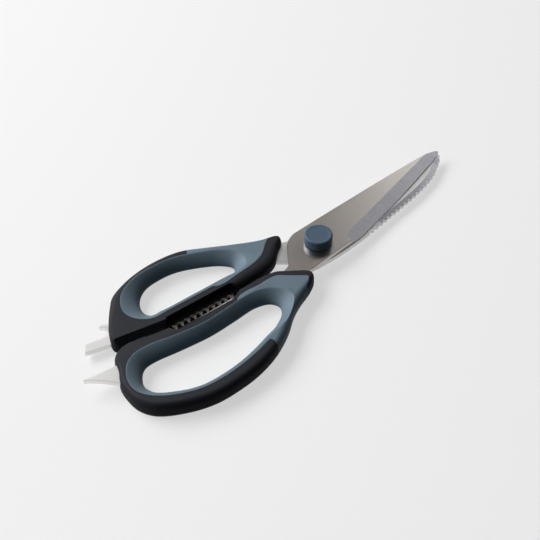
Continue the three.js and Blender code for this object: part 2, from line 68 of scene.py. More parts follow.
# %% [markdown]
# ## Camera
# The photograph looks down at the table from the side of the handles. A camera is known once its
# angles, its field of view and one point's place in the picture are known. Here that point is the
# middle of the pivot cap, and the picture's scale there gives the distance.

# %% Camera
MM = 0.001
IMAGE_SIZE = 540
CAP_PIXEL = (318.5, 234.5)
CAP_POINT = Vector((0, 0, 11.5)) * MM
PIXELS_PER_MM = 2.15
CAMERA_ELEVATION = math.radians(45)
CAMERA_YAW = math.radians(47)
FIELD_OF_VIEW = math.radians(21)


def new_object(name, data):
    made = bpy.data.objects.new(name, data)
    bpy.context.scene.collection.objects.link(made)
    return made


def add_camera():
    away = Vector((math.sin(CAMERA_YAW), math.cos(CAMERA_YAW), 0))
    forward = away * math.cos(CAMERA_ELEVATION) - Vector((0, 0, math.sin(CAMERA_ELEVATION)))
    right = Vector((away.y, -away.x, 0))
    up = right.cross(forward)
    half_image = IMAGE_SIZE / 2
    distance = half_image / math.tan(FIELD_OF_VIEW / 2) / PIXELS_PER_MM * MM
    across = (CAP_PIXEL[0] - half_image) / PIXELS_PER_MM * MM
    above = (half_image - CAP_PIXEL[1]) / PIXELS_PER_MM * MM
    lens = bpy.data.cameras.new("studio_camera")
    lens.angle = FIELD_OF_VIEW
    camera = new_object("studio_camera", lens)
    camera.location = CAP_POINT - distance * forward - across * right - above * up
    camera.rotation_euler = forward.to_track_quat("-Z", "Y").to_euler()
    bpy.context.scene.camera = camera
    print("camera at", [round(c, 4) for c in camera.location])
    return away


far_side = add_camera()

# %% [markdown]
# ## Nodes and colours
# Every material below is a small tree of nodes. One function adds a node with its settings and
# links, and one turns a colour as it is seen on a screen into the linear light that Blender works
# with. Two more hold what most of the trees share: a mix of two colours, and a noise that is spread
# over a range.

# %% Node and colour helpers


def feed(tree, node, inputs):
    """Fills inputs of a node with plain values, or links other nodes' outputs to them."""
    for name, value in inputs.items():
        if isinstance(value, bpy.types.NodeSocket):
            tree.links.new(value, node.inputs[name])
        else:
            node.inputs[name].default_value = value


def add(tree, kind, inputs=None, **settings):
    node = tree.nodes.new(kind)
    for name, value in settings.items():
        setattr(node, name, value)
    feed(tree, node, inputs or {})
    return node


def linear(colour):
    """A hex colour such as #a0a0a0 as linear red, green, blue and alpha."""
    parts = [int(colour[i:i + 2], 16) / 255 for i in (1, 3, 5)]
    return [p / 12.92 if p <= 0.04045 else ((p + 0.055) / 1.055) ** 2.4 for p in parts] + [1]


def mixed(tree, share, first, second):
    """A colour between two others. 6 and 7 are the colour inputs of a mix node, and 2 its output."""
    colours = {"Factor": share, 6: first, 7: second}
    return add(tree, "ShaderNodeMix", colours, data_type="RGBA").outputs[2]


def spread_noise(tree, noise, low=0.0, high=1.0):
    """The middle range of a noise, where most of it lies, spread from low to high."""
    ends = {"From Min": 0.3, "From Max": 0.7, "To Min": low, "To Max": high}
    return add(tree, "ShaderNodeMapRange", {"Value": noise, **ends}).outputs["Result"]


def new_material(name):
    material = bpy.data.materials.new(name)
    material.use_nodes = True
    tree = material.node_tree
    shader = tree.nodes["Principled BSDF"]
    place = add(tree, "ShaderNodeTexCoord").outputs["Object"]
    return material, tree, shader, place


print("steel grey is", [round(c, 3) for c in linear("#a6a19e")])

# %% [markdown]
# ## Table and light
# The shears lie on a plain white table. A wide soft lamp hangs beyond the thumb side and gives the
# soft shadows on the side of the fingers. The other panels are cards, which only show in what is
# shiny: one beside the lamp for the tops of the handles, and four for the steel, which shows what it
# mirrors. The room is dim, which keeps the black plastic black. The table looks white to the camera
# and in reflections, and throws little light back, as a small sheet of paper in a dark studio does.
# At the end of the lesson, flags keep three of the panels off the pieces that they would spoil.

# %% Table
FLOOR_HALF = 4.0
FLOOR_GAP = 0.02 * MM
FLOOR_GLOW = 0.57


def add_floor():
    material, tree, shader, place = new_material("matt_white_table")
    ray = add(tree, "ShaderNodeLightPath").outputs

    def math_node(operation, a, b):
        return add(tree, "ShaderNodeMath", {0: a, 1: b}, operation=operation, use_clamp=True).outputs[0]

    mirrored = math_node("ADD", ray["Is Glossy Ray"], ray["Is Transmission Ray"])
    seen = math_node("ADD", ray["Is Camera Ray"], mirrored)
    feed(tree, shader, {
        "Base Color": mixed(tree, seen, linear("#383838"), linear("#9a9a9a")),
        "Emission Strength": math_node("MULTIPLY", seen, FLOOR_GLOW),
        "Emission Color": (1, 1, 1, 1),
        "Roughness": 0.9,
        "Specular IOR Level": 0.0,
    })
    level = cad_low.z - FLOOR_GAP
    corners = [(x * FLOOR_HALF, y * FLOOR_HALF, level) for x, y in ((-1, -1), (1, -1), (1, 1), (-1, 1))]
    mesh = bpy.data.meshes.new("table")
    mesh.from_pydata(corners, [], [(0, 1, 2, 3)])
    mesh.materials.append(material)
    floor = new_object("table", mesh)


add_floor()
bpy.context.scene.view_settings.view_transform = "Standard"

# %% Lamps


def softbox(name, azimuth, elevation, distance, size, radiance, card=False):
    """A panel that faces the pivot. Azimuth is counted from +X towards +Y, in degrees.

    A card is only mirrored by shiny surfaces and throws no light on matt ones.
    """
    a, e = math.radians(azimuth), math.radians(elevation)
    outward = Vector((math.cos(a) * math.cos(e), math.sin(a) * math.cos(e), math.sin(e)))
    lamp = bpy.data.lights.new(name, "AREA")
    lamp.shape = "RECTANGLE"
    lamp.size, lamp.size_y = size
    lamp.energy = radiance * math.pi * size[0] * size[1]
    panel = new_object(name, lamp)
    panel.location = outward * distance
    panel.rotation_euler = outward.to_track_quat("Z", "Y").to_euler()
    panel.visible_diffuse = not card
    print(name, "gives", round(lamp.energy, 2), "W")
    return panel


def keep_off(panel, bodies):
    """Leaves bodies out of what a lamp lights, as a flag on a stand does."""
    flag = bpy.data.collections.new(panel.name + "_flag")
    for body in bodies:
        flag.objects.link(body)
    for entry in flag.collection_objects:
        entry.light_linking.link_state = "EXCLUDE"
    panel.light_linking.receiver_collection = flag


key = softbox("key_softbox", 114, 38, distance=1.5, size=(1.8, 0.75), radiance=8.6)
handle_card = softbox("handle_card", 98, 46, distance=1.4, size=(0.75, 0.9), radiance=9, card=True)
softbox("key_card", 99, 42, distance=1.5, size=(2.0, 1.1), radiance=1.4, card=True)
softbox("blade_card", 10, 25, distance=1.3, size=(1.06, 1.0), radiance=1.38, card=True)
softbox("bevel_card", -20, 58, distance=1.4, size=(1.2, 1.0), radiance=0.34, card=True)
fill_card = softbox("fill_card", 225, 45, distance=1.5, size=(2.4, 1.6), radiance=0.4, card=True)

# %% Room
CAMERA_SIDE = (0, 0.05), (0.4, 0.04), (1, 0.04)
FAR_SIDE = (0, 0.5), (0.3, 0.3), (0.6, 0.1), (1, 0.06)


def add_room():
    """A dim room: grey at the height of the table, darker overhead, darkest behind the camera."""
    world = bpy.data.worlds.new("studio_room")
    world.use_nodes = True
    bpy.context.scene.world = world
    tree = world.node_tree
    direction = add(tree, "ShaderNodeTexCoord").outputs["Generated"]
    height = add(tree, "ShaderNodeSeparateXYZ", {"Vector": direction}).outputs["Z"]
    ahead = add(tree, "ShaderNodeVectorMath", {0: direction, 1: far_side}, operation="DOT_PRODUCT")
    share = add(
        tree, "ShaderNodeMapRange",
        {"Value": ahead.outputs["Value"], "From Min": -0.4, "From Max": 0.5},
        interpolation_type="SMOOTHSTEP",
    )
    sides = []
    for stops in (CAMERA_SIDE, FAR_SIDE):
        ramp = add(tree, "ShaderNodeValToRGB", {"Fac": height})
        while len(ramp.color_ramp.elements) < len(stops):
            ramp.color_ramp.elements.new(0.5)
        for element, (position, level) in zip(ramp.color_ramp.elements, stops):
            element.position = position
            element.color = (level, level, level, 1)
        sides.append(ramp.outputs["Color"])
    feed(tree, tree.nodes["Background"], {"Color": mixed(tree, share.outputs["Result"], *sides)})


add_room()

# %% [markdown]
# ## Solids from outlines
# Flat tools such as these shears are drawn as outlines and given a thickness. A loft joins loops of
# equal count that lie at different heights, so it makes plates, rolled edges, tapered cuts and turned
# pieces alike. The solids are joined and cut with the Manifold solver, which always leaves
# closed bodies. They are built in millimetres, and become metres when they are finished.

# %% Lofts and cuts


def loft(levels):
    """A closed body through loops of (x, y) points, each with its height."""
    count = len(levels[0][0])
    points = [(x, y, z) for loop, z in levels for x, y in loop]
    faces = [tuple(range(count)), tuple(range(len(points) - count, len(points)))]
    for row in range(0, len(points) - count, count):
        for i in range(count):
            j = (i + 1) % count
            faces.append((row + i, row + j, row + count + j, row + count + i))
    shape = bmesh.new()
    corners = [shape.verts.new(p) for p in points]
    for face in faces:
        shape.faces.new([corners[i] for i in face])
    bmesh.ops.recalc_face_normals(shape, faces=shape.faces)
    mesh = bpy.data.meshes.new("solid")
    shape.to_mesh(mesh)
    shape.free()
    return new_object("solid", mesh)


def evaluated(body):
    """The body's mesh with its modifiers applied."""
    graph = bpy.context.evaluated_depsgraph_get()
    return bpy.data.meshes.new_from_object(body.evaluated_get(graph))


def combine(operation, body, *tools):
    """Joins, cuts or intersects a body with other bodies, which are used up."""
    for tool in tools:
        modifier = body.modifiers.new(operation, "BOOLEAN")
        modifier.operation = operation
        modifier.solver = "MANIFOLD"
        modifier.object = tool
        body.data = evaluated(body)
        body.modifiers.clear()
        bpy.data.objects.remove(tool)
    return body


def cut(body, *tools):
    return combine("DIFFERENCE", body, *tools)


def copy(body):
    return new_object("solid", body.data.copy())


# %% Outlines


def hermite(a, b, leave, arrive, steps):
    """Points from a to just before b, for every pair, with the given tangents."""
    s = np.linspace(0, 1, steps, endpoint=False)[None, :, None]
    a, b, leave, arrive = (q[:, None, :] for q in (a, b, leave, arrive))
    curve = a + leave * s + (3 * (b - a) - 2 * leave - arrive) * s**2
    curve = curve + (2 * (a - b) + leave + arrive) * s**3
    return curve.reshape(-1, curve.shape[2])


def closed_curve(knots, steps=24):
    """A closed centripetal Catmull-Rom curve."""
    a = np.array(knots, float)
    before, b, after = np.roll(a, 1, 0), np.roll(a, -1, 0), np.roll(a, -2, 0)
    pairs = ((before, a), (a, b), (b, after))
    d0, d1, d2 = (np.sqrt(np.linalg.norm(q - p, axis=1))[:, None] for p, q in pairs)
    leave = (a - before) / d0 - (b - before) / (d0 + d1) + (b - a) / d1
    arrive = (b - a) / d1 - (after - a) / (d1 + d2) + (after - b) / d2
    return hermite(a, b, leave * d1, arrive * d1, steps)


def open_curve(knots, steps=24):
    """An open Catmull-Rom curve through its knots."""
    k = np.array(knots, float)
    before, after = np.vstack([k[:1], k[:-2]]), np.vstack([k[2:], k[-1:]])
    curve = hermite(k[:-1], k[1:], (k[1:] - before) / 2, (after - k[:-1]) / 2, steps)
    return np.vstack([curve, k[-1:]])


def counter_clockwise(loop):
    x, y = loop[:, 0], loop[:, 1]
    area = np.sum(x * np.roll(y, -1) - np.roll(x, -1) * y)
    return loop if area > 0 else loop[::-1]


def grown(loop, distance):
    """A counter-clockwise outline moved outwards, with mitred corners."""
    step = np.roll(loop, -1, 0) - loop
    step /= np.linalg.norm(step, axis=1)[:, None]
    ahead = np.c_[step[:, 1], -step[:, 0]]
    behind = np.roll(ahead, 1, 0)
    sharp = np.maximum(1 + np.sum(ahead * behind, axis=1), 0.4)
    return loop + distance * (ahead + behind) / sharp[:, None]


def prism(loop, low, high):
    loop = counter_clockwise(np.array(loop, float))
    return loft([(loop, low), (loop, high)])


def circle(diameter, centre=(0, 0), steps=96):
    angle = np.linspace(0, 2 * math.pi, steps, endpoint=False)
    return np.c_[np.cos(angle), np.sin(angle)] * diameter / 2 + np.array(centre)


# %% [markdown]
# ## Main sizes
# The heights follow from two facts: the handle is one even thickness, and the two blades lie on each
# other in the middle of it. The handles are drawn in their own frame, in which u runs back from the
# pivot and v runs out to the thumb side.

# %% Main sizes
HANDLE_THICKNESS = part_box("finger_handle_core")[1].z / MM
MIDDLE = HANDLE_THICKNESS / 2
UPPER_FLOOR, UPPER_TOP = (corner.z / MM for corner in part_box("upper_blade"))
LOWER_FLOOR, LOWER_TOP = (corner.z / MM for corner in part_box("lower_blade"))
BELOW, ABOVE = -1.0, HANDLE_THICKNESS + 1
HANDLE_BEND = math.radians(9.5)
SEAM = 0.1

SPLIT_DROP, SPLIT_GAP, SPLIT_RISE = 2.4, 2.0, 3.5
THUMB_FRONT, THUMB_LENGTH, THUMB_WIDTH = 41.0, 48.1, 18.1
THUMB_BAR, THUMB_RING, THUMB_REAR, THUMB_NOSE = 9.2, 10.0, 22.3, 28.4
FINGER_FRONT, FINGER_LENGTH, FINGER_WIDTH = 39.4, 73.7, 23.8
FINGER_BAR, FINGER_RING, FINGER_REAR, FINGER_NOSE = 11.1, 9.3, 9.3, 24.3
CRACKER_START, CRACKER_LENGTH, CRACKER_RAMP = 46.8, 41.4, 3.2
CRACKER_REACH, CRACKER_TOOTH, CRACKER_RELIEF, CRACKER_SWEEP = 0.6, 1.7, 0.6, 10.0
TANG_WIDTH, TANG_INSET, SEAT = 3.4, 2.7, 0.3

THUMB_FACE = SPLIT_GAP / 2 - SPLIT_DROP
THUMB_INNER = THUMB_FACE + THUMB_BAR
THUMB_OUTER = THUMB_INNER + THUMB_WIDTH
THUMB_BACK = THUMB_FRONT + THUMB_LENGTH
THUMB_END = THUMB_BACK + THUMB_REAR
THUMB_TIP = THUMB_FRONT - THUMB_NOSE
FINGER_FACE = -SPLIT_GAP / 2 - SPLIT_DROP
FINGER_INNER = FINGER_FACE - FINGER_BAR
FINGER_OUTER = FINGER_INNER - FINGER_WIDTH
FINGER_BACK = FINGER_FRONT + FINGER_LENGTH
FINGER_END = FINGER_BACK + FINGER_REAR
FINGER_TIP = FINGER_FRONT - FINGER_NOSE
CRACKER_END = CRACKER_START + CRACKER_LENGTH
SPLIT_TURN = CRACKER_END - CRACKER_RAMP
THUMB_SPLIT_END = THUMB_END - 4.9
FINGER_SPLIT_END = FINGER_BACK - 6.6
SPLIT_RUN = min(THUMB_SPLIT_END, FINGER_SPLIT_END) - SPLIT_TURN
LUG_PLACE = SPLIT_TURN + 0.65 * SPLIT_RUN
LUG_RISE = 0.57 * SPLIT_RISE
BLADE_THICKNESS = UPPER_TOP - UPPER_FLOOR
print("handles are", round(HANDLE_THICKNESS, 2), "mm thick, the blades", round(BLADE_THICKNESS, 2))


def in_handle(u, v):
    x = v * math.sin(HANDLE_BEND) - u * math.cos(HANDLE_BEND)
    y = u * math.sin(HANDLE_BEND) + v * math.cos(HANDLE_BEND)
    return np.array([x, y])


# %% [markdown]
# ## Handle outlines
# Each loop has two outlines: the rim, round the outside, and the lip, round the finger hole. A knot
# holds a third number, the width over which the edge rolls from the middle of the handle to its flat
# face. The wide rolls at the ends of the holes are the flared rests that a thumb or finger lies on.

# %% Split between the handles


def near(u, v, *knots):
    """Knots that are given by their distances from one place."""
    return [(u + along, v + across, *roll) for along, across, *roll in knots]


def rise_at(u):
    return SPLIT_RISE * (u - SPLIT_TURN) / SPLIT_RUN


def split_knots(face, end, front_roll):
    return [
        (CRACKER_START, face, front_roll),
        (SPLIT_TURN, face, 1.4),
        (LUG_PLACE, face + LUG_RISE, 1.4),
        (end, face + rise_at(end), 1.4),
    ]


# %% Thumb loop
thumb_crest = THUMB_OUTER + THUMB_RING
thumb_rise = THUMB_FACE + rise_at(THUMB_SPLIT_END)
thumb_rim = [
    (THUMB_END, thumb_rise + 3.1, 1.4),
    (THUMB_END - 2.4, THUMB_FACE + 13, 1.5),
    *near(THUMB_END, THUMB_OUTER, (-6.6, -7.7, 2), (-10.9, -2, 2.8)),
    *near(THUMB_BACK, thumb_crest, (7.4, -7.6, 3), (-2.2, -3.3, 3), (-12.2, -1, 3), (-22.8, -0.5, 3)),
    *near(THUMB_FRONT, thumb_crest, (14.2, -2.1, 3), (3, -7.5, 3)),
    (THUMB_FRONT - 8.1, THUMB_INNER + 14.7, 2.8),
    *near(THUMB_TIP, THUMB_INNER, (9.6, 9.5, 2.3), (1.2, 6.6, 1.4), (0, 4.6, 1.2), (0.9, 2.8, 2)),
    *near(THUMB_TIP, THUMB_FACE, (5.5, 8.6, 3.2), (9.9, 4.5, 4), (12.7, 2.8, 4.4)),
    *near(THUMB_FRONT, THUMB_FACE, (-10.6, 1.3, 4.4), (-0.6, 0.4, 4.2)),
    *split_knots(THUMB_FACE, THUMB_SPLIT_END, 3.6),
    (THUMB_END - 1, thumb_rise + 1, 1.4),
]
thumb_hole = [
    (-0.011, 0.23, 4.6), (0.042, 0.026, 2.8), (0.25, -0.031, 1.6), (0.55, -0.031, 1.6),
    (0.853, -0.03, 1.6), (0.978, 0.066, 3.2), (1.012, 0.316, 5.9), (0.965, 0.66, 5.8),
    (0.824, 0.957, 4.3), (0.63, 1.042, 3.7), (0.446, 0.996, 3.7), (0.191, 0.714, 3.9),
    (0.057, 0.477, 4.5),
]
thumb_lip = [
    (THUMB_FRONT + along * THUMB_LENGTH, THUMB_INNER + across * THUMB_WIDTH, flare)
    for along, across, flare in thumb_hole
]
thumb_seam = THUMB_INNER - 3.2
thumb_shoulder = [
    *near(THUMB_FRONT, thumb_seam, (16, 0), (0.4, -0.1), (-9.6, 1.5)),
    *near(THUMB_TIP, thumb_seam, (14.1, 3.6), (9.7, 7.4), (4.7, 12)),
    (THUMB_TIP + 4.7, thumb_crest),
    (THUMB_FRONT + 10.6, thumb_crest + 3),
    *near(THUMB_FRONT, THUMB_OUTER, (12.2, 5), (16, 0)),
]

# %% Finger loop
finger_crest = FINGER_OUTER - FINGER_RING
finger_rise = FINGER_FACE + rise_at(FINGER_SPLIT_END)
finger_rim = [
    *near(FINGER_BACK, finger_rise, (-1.4, -0.8, 1.4), (2.7, -3.5, 1.4)),
    (FINGER_BACK + 5.3, FINGER_INNER + 4, 1.6),
    *near(FINGER_END, FINGER_INNER, (-0.9, -1.8, 2), (0, -8, 2), (-0.7, -15.6, 2.1)),
    (FINGER_END - 5.1, FINGER_OUTER + 1, 2.4),
    *near(FINGER_BACK, finger_crest, (-8.1, 3.3, 2.8), (-20.6, 0, 3), (-34.7, 0.2, 3), (-45, 1.8, 3)),
    *near(FINGER_FRONT, finger_crest, (17.3, 5.6, 3), (6.3, 11.8, 3.6)),
    (FINGER_FRONT - 2.9, FINGER_INNER - 14.1, 3.9),
    *near(FINGER_TIP, FINGER_INNER, (14.9, -10.3, 3.8), (6.2, -6.3, 2.8), (0.6, -2.2, 1.4),
          (0, -0.1, 1.2), (2.2, 2.8, 1.4), (8.1, 7, 1.6)),
    (FINGER_TIP + 13.3, FINGER_FACE - 0.6, 1.8),
    (FINGER_FRONT - 4.2, FINGER_FACE + 0.3, 1.5),
    *split_knots(FINGER_FACE, FINGER_SPLIT_END, 1.4),
]
finger_hole = [
    (-0.008, 0.263, 5.3), (0.022, 0.082, 4.4), (0.118, -0.004, 3.9), (0.261, 0.029, 3.8),
    (0.46, 0.068, 3.7), (0.666, 0.026, 4.2), (0.85, -0.031, 4.8), (0.923, -0.001, 4.9),
    (0.978, 0.159, 4.7), (1.008, 0.402, 4), (0.969, 0.657, 2.8), (0.878, 0.878, 1.9),
    (0.756, 1.015, 1.7), (0.616, 1.031, 1.8), (0.479, 0.988, 1.8), (0.348, 0.894, 2),
    (0.215, 0.741, 2.5), (0.112, 0.619, 3.2), (0.026, 0.453, 4.6),
]
finger_lip = [
    (FINGER_FRONT + along * FINGER_LENGTH, FINGER_INNER - across * FINGER_WIDTH, flare)
    for along, across, flare in finger_hole
]
finger_shoulder = [
    *near(FINGER_FRONT, FINGER_INNER, (14, 6), (0, 7.4), (-5, 7.7)),
    *near(FINGER_TIP, FINGER_INNER, (15.1, 7.1), (10.5, 3.6), (7, 0.9), (4, -1.7), (5.3, -3.9),
          (7.7, -5.9), (9.4, -14)),
    *near(FINGER_FRONT, finger_crest, (17.6, -4), (16.8, 3)),
    *near(FINGER_FRONT, FINGER_OUTER, (16, 0.4), (18, 4)),
]

# %% [markdown]
# ## Rolled edges
# A moulded handle has no sharp edge: its upright sides roll over in a quarter ellipse to both faces.
# The knots become a dense even loop, which a few passes of averaging make free of kinks, and each
# level of the roll is that loop moved in by its share of the roll's width. Where the roll of a finger
# hole is wide it becomes a flare: a slope from a lip at the waist up to a ridge.

# %% Rolled edges
LOOP_SPACING = 0.5
SMOOTHING_PASSES = 6
ROLL_STEPS = 14
TIGHT_ROLL = 0.85  # widest roll, as a share of the radius of a bend
ROLL_HEIGHT = 0.39 * HANDLE_THICKNESS
NARROW_ROLL, WIDE_ROLL, FLARE_POWER, RIDGE, GRIP_FLAT = 2.0, 3.5, 1.8, 0.12, 0.4
LIP_DROP = 1.3
LIP_LEAN = np.array([0.95, 0.89])


def averaged(values, passes=SMOOTHING_PASSES):
    for _ in range(passes):
        values = (np.roll(values, 1, 0) + 2 * values + np.roll(values, -1, 0)) / 4
    return values


def even_loop(curve, spacing=LOOP_SPACING):
    """A closed curve with points at even distances along it."""
    closed = np.vstack([curve, curve[:1]])
    along = np.r_[0, np.cumsum(np.linalg.norm(np.diff(closed[:, :2], axis=0), axis=1))]
    places = np.linspace(0, along[-1], round(along[-1] / spacing), endpoint=False)
    return np.column_stack([np.interp(places, along, column) for column in closed.T])


def quarter_ellipse(depth):
    """Share of a roll's width at a depth below the face, counted in heights of the roll."""
    return 1 - math.sqrt(1 - max(0, 1 - depth) ** 2)


def both_faces(loop_at, waist=MIDDLE):
    """Loops from the bottom face, past the waist, to the top face. A loop is asked for by its depth
    below the nearer face, as a share of the way to the waist, and in mm."""
    shares = 1 - np.sin(np.linspace(0, math.pi / 2, ROLL_STEPS + 1))
    above = HANDLE_THICKNESS - waist
    lower = [(loop_at(share, share * waist), share * waist) for share in shares[:0:-1]]
    upper = [(loop_at(share, share * above), HANDLE_THICKNESS - share * above) for share in shares]
    return lower + upper


class Outline:
    """A smooth loop with its outward normals and the width of its rolled edge."""

    def __init__(self, knots):
        curve = closed_curve(knots)
        x, y = in_handle(curve[:, 0], curve[:, 1])
        loop = averaged(even_loop(counter_clockwise(np.column_stack([x, y, curve[:, 2]]))))
        chord = np.roll(loop, -1, 0) - np.roll(loop, 1, 0)
        normal = np.column_stack([chord[:, 1], -chord[:, 0]])
        self.points = loop[:, :2]
        self.normals = normal / np.linalg.norm(normal, axis=1)[:, None]
        turn = np.cross(np.roll(self.normals, 1, 0), np.roll(self.normals, -1, 0))
        self.radius = np.linalg.norm(chord[:, :2], axis=1) / np.where(np.abs(turn) < 1e-6, 1e-6, turn)
        self.width = loop[:, 2]

    def moved(self, distance):
        return self.points + self.normals * np.broadcast_to(distance, len(self.points))[:, None]

    def rolled(self):
        """Levels of the outside of a handle, from the bottom face to the top face."""
        tight = np.where(self.radius > 0, TIGHT_ROLL * self.radius, np.inf)
        width = averaged(np.minimum(self.width, tight))
        return both_faces(lambda share, depth: self.moved(-quarter_ellipse(depth / ROLL_HEIGHT) * width))

    def wide(self):
        """1 where the edge is a wide flare, 0 where it is a narrow roll."""
        return np.clip((self.width - NARROW_ROLL) / (WIDE_ROLL - NARROW_ROLL), 0, 1)[:, None]

    def flared(self):
        """Levels of a finger hole. A wide flare's lip is low, and leans forward and to the thumb."""
        lip = self.points + self.wide() * LIP_LEAN
        ridge = self.moved((1 + GRIP_FLAT) * self.width)

        def level(share, depth):
            slant = (1 - RIDGE) * (1 - share) ** FLARE_POWER + RIDGE * quarter_ellipse(share)
            flare = lip + slant * (ridge - lip)
            roll = self.moved(quarter_ellipse(depth / ROLL_HEIGHT) * self.width)
            return roll + self.wide() * (flare - roll)

        return both_faces(level, MIDDLE - LIP_DROP)


# %% [markdown]
# ## Core and grip
# The core is moulded first. The grip is moulded over it, around the finger hole and across the
# shoulder, and it wraps a rib that the core keeps inside. So the handle is made as one body, and the
# region of the grip is taken out of the one part and kept in the other. The two meet flush, at a
# seam a tenth of a millimetre wide.

# %% Core and grip
SEAM_MARGIN, GRIP_SKIN, FLARE_SKIN, GRIP_COVER, RIM_PLAY = 0.2, 1.4, 2.2, 2.8, 0.03


def handle_parts(rim_knots, lip_knots, shoulder_knots):
    rim, lip = Outline(rim_knots), Outline(lip_knots)
    rim.points = rim.moved(-RIM_PLAY)
    hole = lip.flared()
    hole = [(hole[0][0], BELOW), *hole, (hole[-1][0], ABOVE)]
    body = cut(loft(rim.rolled()), loft(hole))
    shoulder = even_loop(closed_curve(shoulder_knots))
    shoulder = counter_clockwise(np.column_stack(in_handle(shoulder[:, 0], shoulder[:, 1])))

    def soft_region(gap):
        ring = prism(lip.moved((1 + GRIP_FLAT) * lip.width + SEAM_MARGIN + gap), BELOW, ABOVE)
        return combine("UNION", ring, prism(grown(shoulder, gap), BELOW, ABOVE))

    def rib(gap):
        outer = rim.moved(gap - np.minimum(GRIP_SKIN, rim.width))
        inner = prism(lip.moved(GRIP_SKIN + FLARE_SKIN * lip.wide()[:, 0] - gap), BELOW, ABOVE)
        cover = GRIP_COVER - gap
        return cut(prism(outer, cover, HANDLE_THICKNESS - cover), inner)

    hard = cut(copy(body), cut(soft_region(SEAM), rib(0)))
    soft = cut(combine("INTERSECT", body, soft_region(0)), rib(SEAM))
    return hard, soft


thumb_core, thumb_grip = handle_parts(thumb_rim, thumb_lip, thumb_shoulder)
finger_core, finger_grip = handle_parts(finger_rim, finger_lip, finger_shoulder)
for name, body in (("thumb core", thumb_core), ("thumb grip", thumb_grip),
                   ("finger core", finger_core), ("finger grip", finger_grip)):
    print(name, len(body.data.polygons), "faces")

# %% [markdown]
# ## Blade outlines
# Each blade and its tang are one plate of sheet steel, blanked to an outline of straight runs and
# arcs. A stroke below is one point, the end of a straight run, or two, the control point and the end
# of an arc.

# %% Blade outlines
BLADE_REACH, BLADE_BACK, BLADE_HEEL, BLADE_BELLY = 90.3, 12.0, 10.1, 11.3
EDGE_START = 17.0
SCALER_START, SCALER_BELLY = 25.0, 11.8
PRONG_LENGTH, PRONG_WIDTH, CLAW_LENGTH, CLAW_BASE = 11.5, 5.4, 19.7, 11.7
ARC_STEPS = 24

blade_tip = (BLADE_REACH, 0.2)
upper_edge_start = np.array((EDGE_START, -BLADE_BELLY))
upper_edge_end = np.array((BLADE_REACH - 2.4, -0.9))
upper_bevel_end = np.array((BLADE_REACH - 1.5, -2.1))
lower_edge_start = np.array((EDGE_START - 5, BLADE_BACK - 2.4))
lower_edge_end = np.array((BLADE_REACH - 4, 1.2))


def drawn(start, strokes):
    points = [np.array(start, float)]
    for *control, end in strokes:
        begin, end = points[-1], np.array(end, float)
        if control:
            s = np.linspace(0, 1, ARC_STEPS + 1)[1:, None]
            points.extend(begin * (1 - s) ** 2 + 2 * np.array(control[0]) * s * (1 - s) + end * s**2)
        else:
            points.append(end)
    return points


# %% Upper blade outline
upper_face = FINGER_FACE - TANG_INSET
upper_outer = upper_face - TANG_WIDTH
upper_outline = np.array(drawn(blade_tip, [
    [(BLADE_REACH - 0.4, 1.1), (BLADE_REACH - 2.1, 1.5)],
    [(BLADE_REACH - 5.8, 2.7), (BLADE_REACH - 14.3, 4)],
    [(BLADE_REACH / 3, BLADE_BACK - 2.8), (-3, BLADE_BACK + 0.1)],
    [(-7.6, BLADE_BACK + 0.1), (-11.6, BLADE_BACK - 2.6)],
    [(-20.4, 0.2)],
    [(-22.3, -1.6), in_handle(28, upper_face)],
    [in_handle(FINGER_BACK - 9, upper_face)],
    [in_handle(FINGER_BACK - 4, upper_face), in_handle(FINGER_BACK, upper_face - 0.8)],
    [in_handle(FINGER_BACK + 9, upper_face - 1), in_handle(FINGER_BACK + CLAW_LENGTH, upper_face + 0.6)],
    [in_handle(FINGER_BACK + 12.1, upper_face - 4.8),
     in_handle(FINGER_BACK + 7.2, upper_face - CLAW_BASE)],
    [in_handle(FINGER_BACK + 3.6, upper_face - CLAW_BASE - 0.8)],
    [in_handle(FINGER_BACK - 0.6, upper_outer - 0.4), in_handle(FINGER_BACK - 12, upper_outer)],
    [in_handle(36, upper_outer)],
    [in_handle(26, upper_outer), in_handle(20, upper_outer - 2.4)],
    [(-14, -BLADE_HEEL)],
    [(2, -BLADE_HEEL), upper_edge_start],
    [(BLADE_REACH - 38, -8), upper_edge_end],
    [(BLADE_REACH - 0.3, -0.6), blade_tip],
])[:-1])
upper_outline = counter_clockwise(upper_outline)

# %% Lower blade outline
lower_face = THUMB_FACE + TANG_INSET
lower_outer = lower_face + TANG_WIDTH
lower_back = open_curve([
    (-9, 0.9 - BLADE_HEEL),
    (4, -BLADE_HEEL - 0.9),
    (SCALER_START - 3, -SCALER_BELLY),
    (BLADE_REACH * 0.48, -SCALER_BELLY + 0.4),
    (BLADE_REACH * 0.68, -SCALER_BELLY + 1.2),
    (BLADE_REACH * 0.83, -SCALER_BELLY + 3.3),
    (BLADE_REACH - 6, -SCALER_BELLY + 6.9),
    (BLADE_REACH - 1.2, -2.2),
    blade_tip,
])


def prong(along, across):
    return in_handle(THUMB_END + along, THUMB_FACE + 8.1 + 0.22 * along + across)


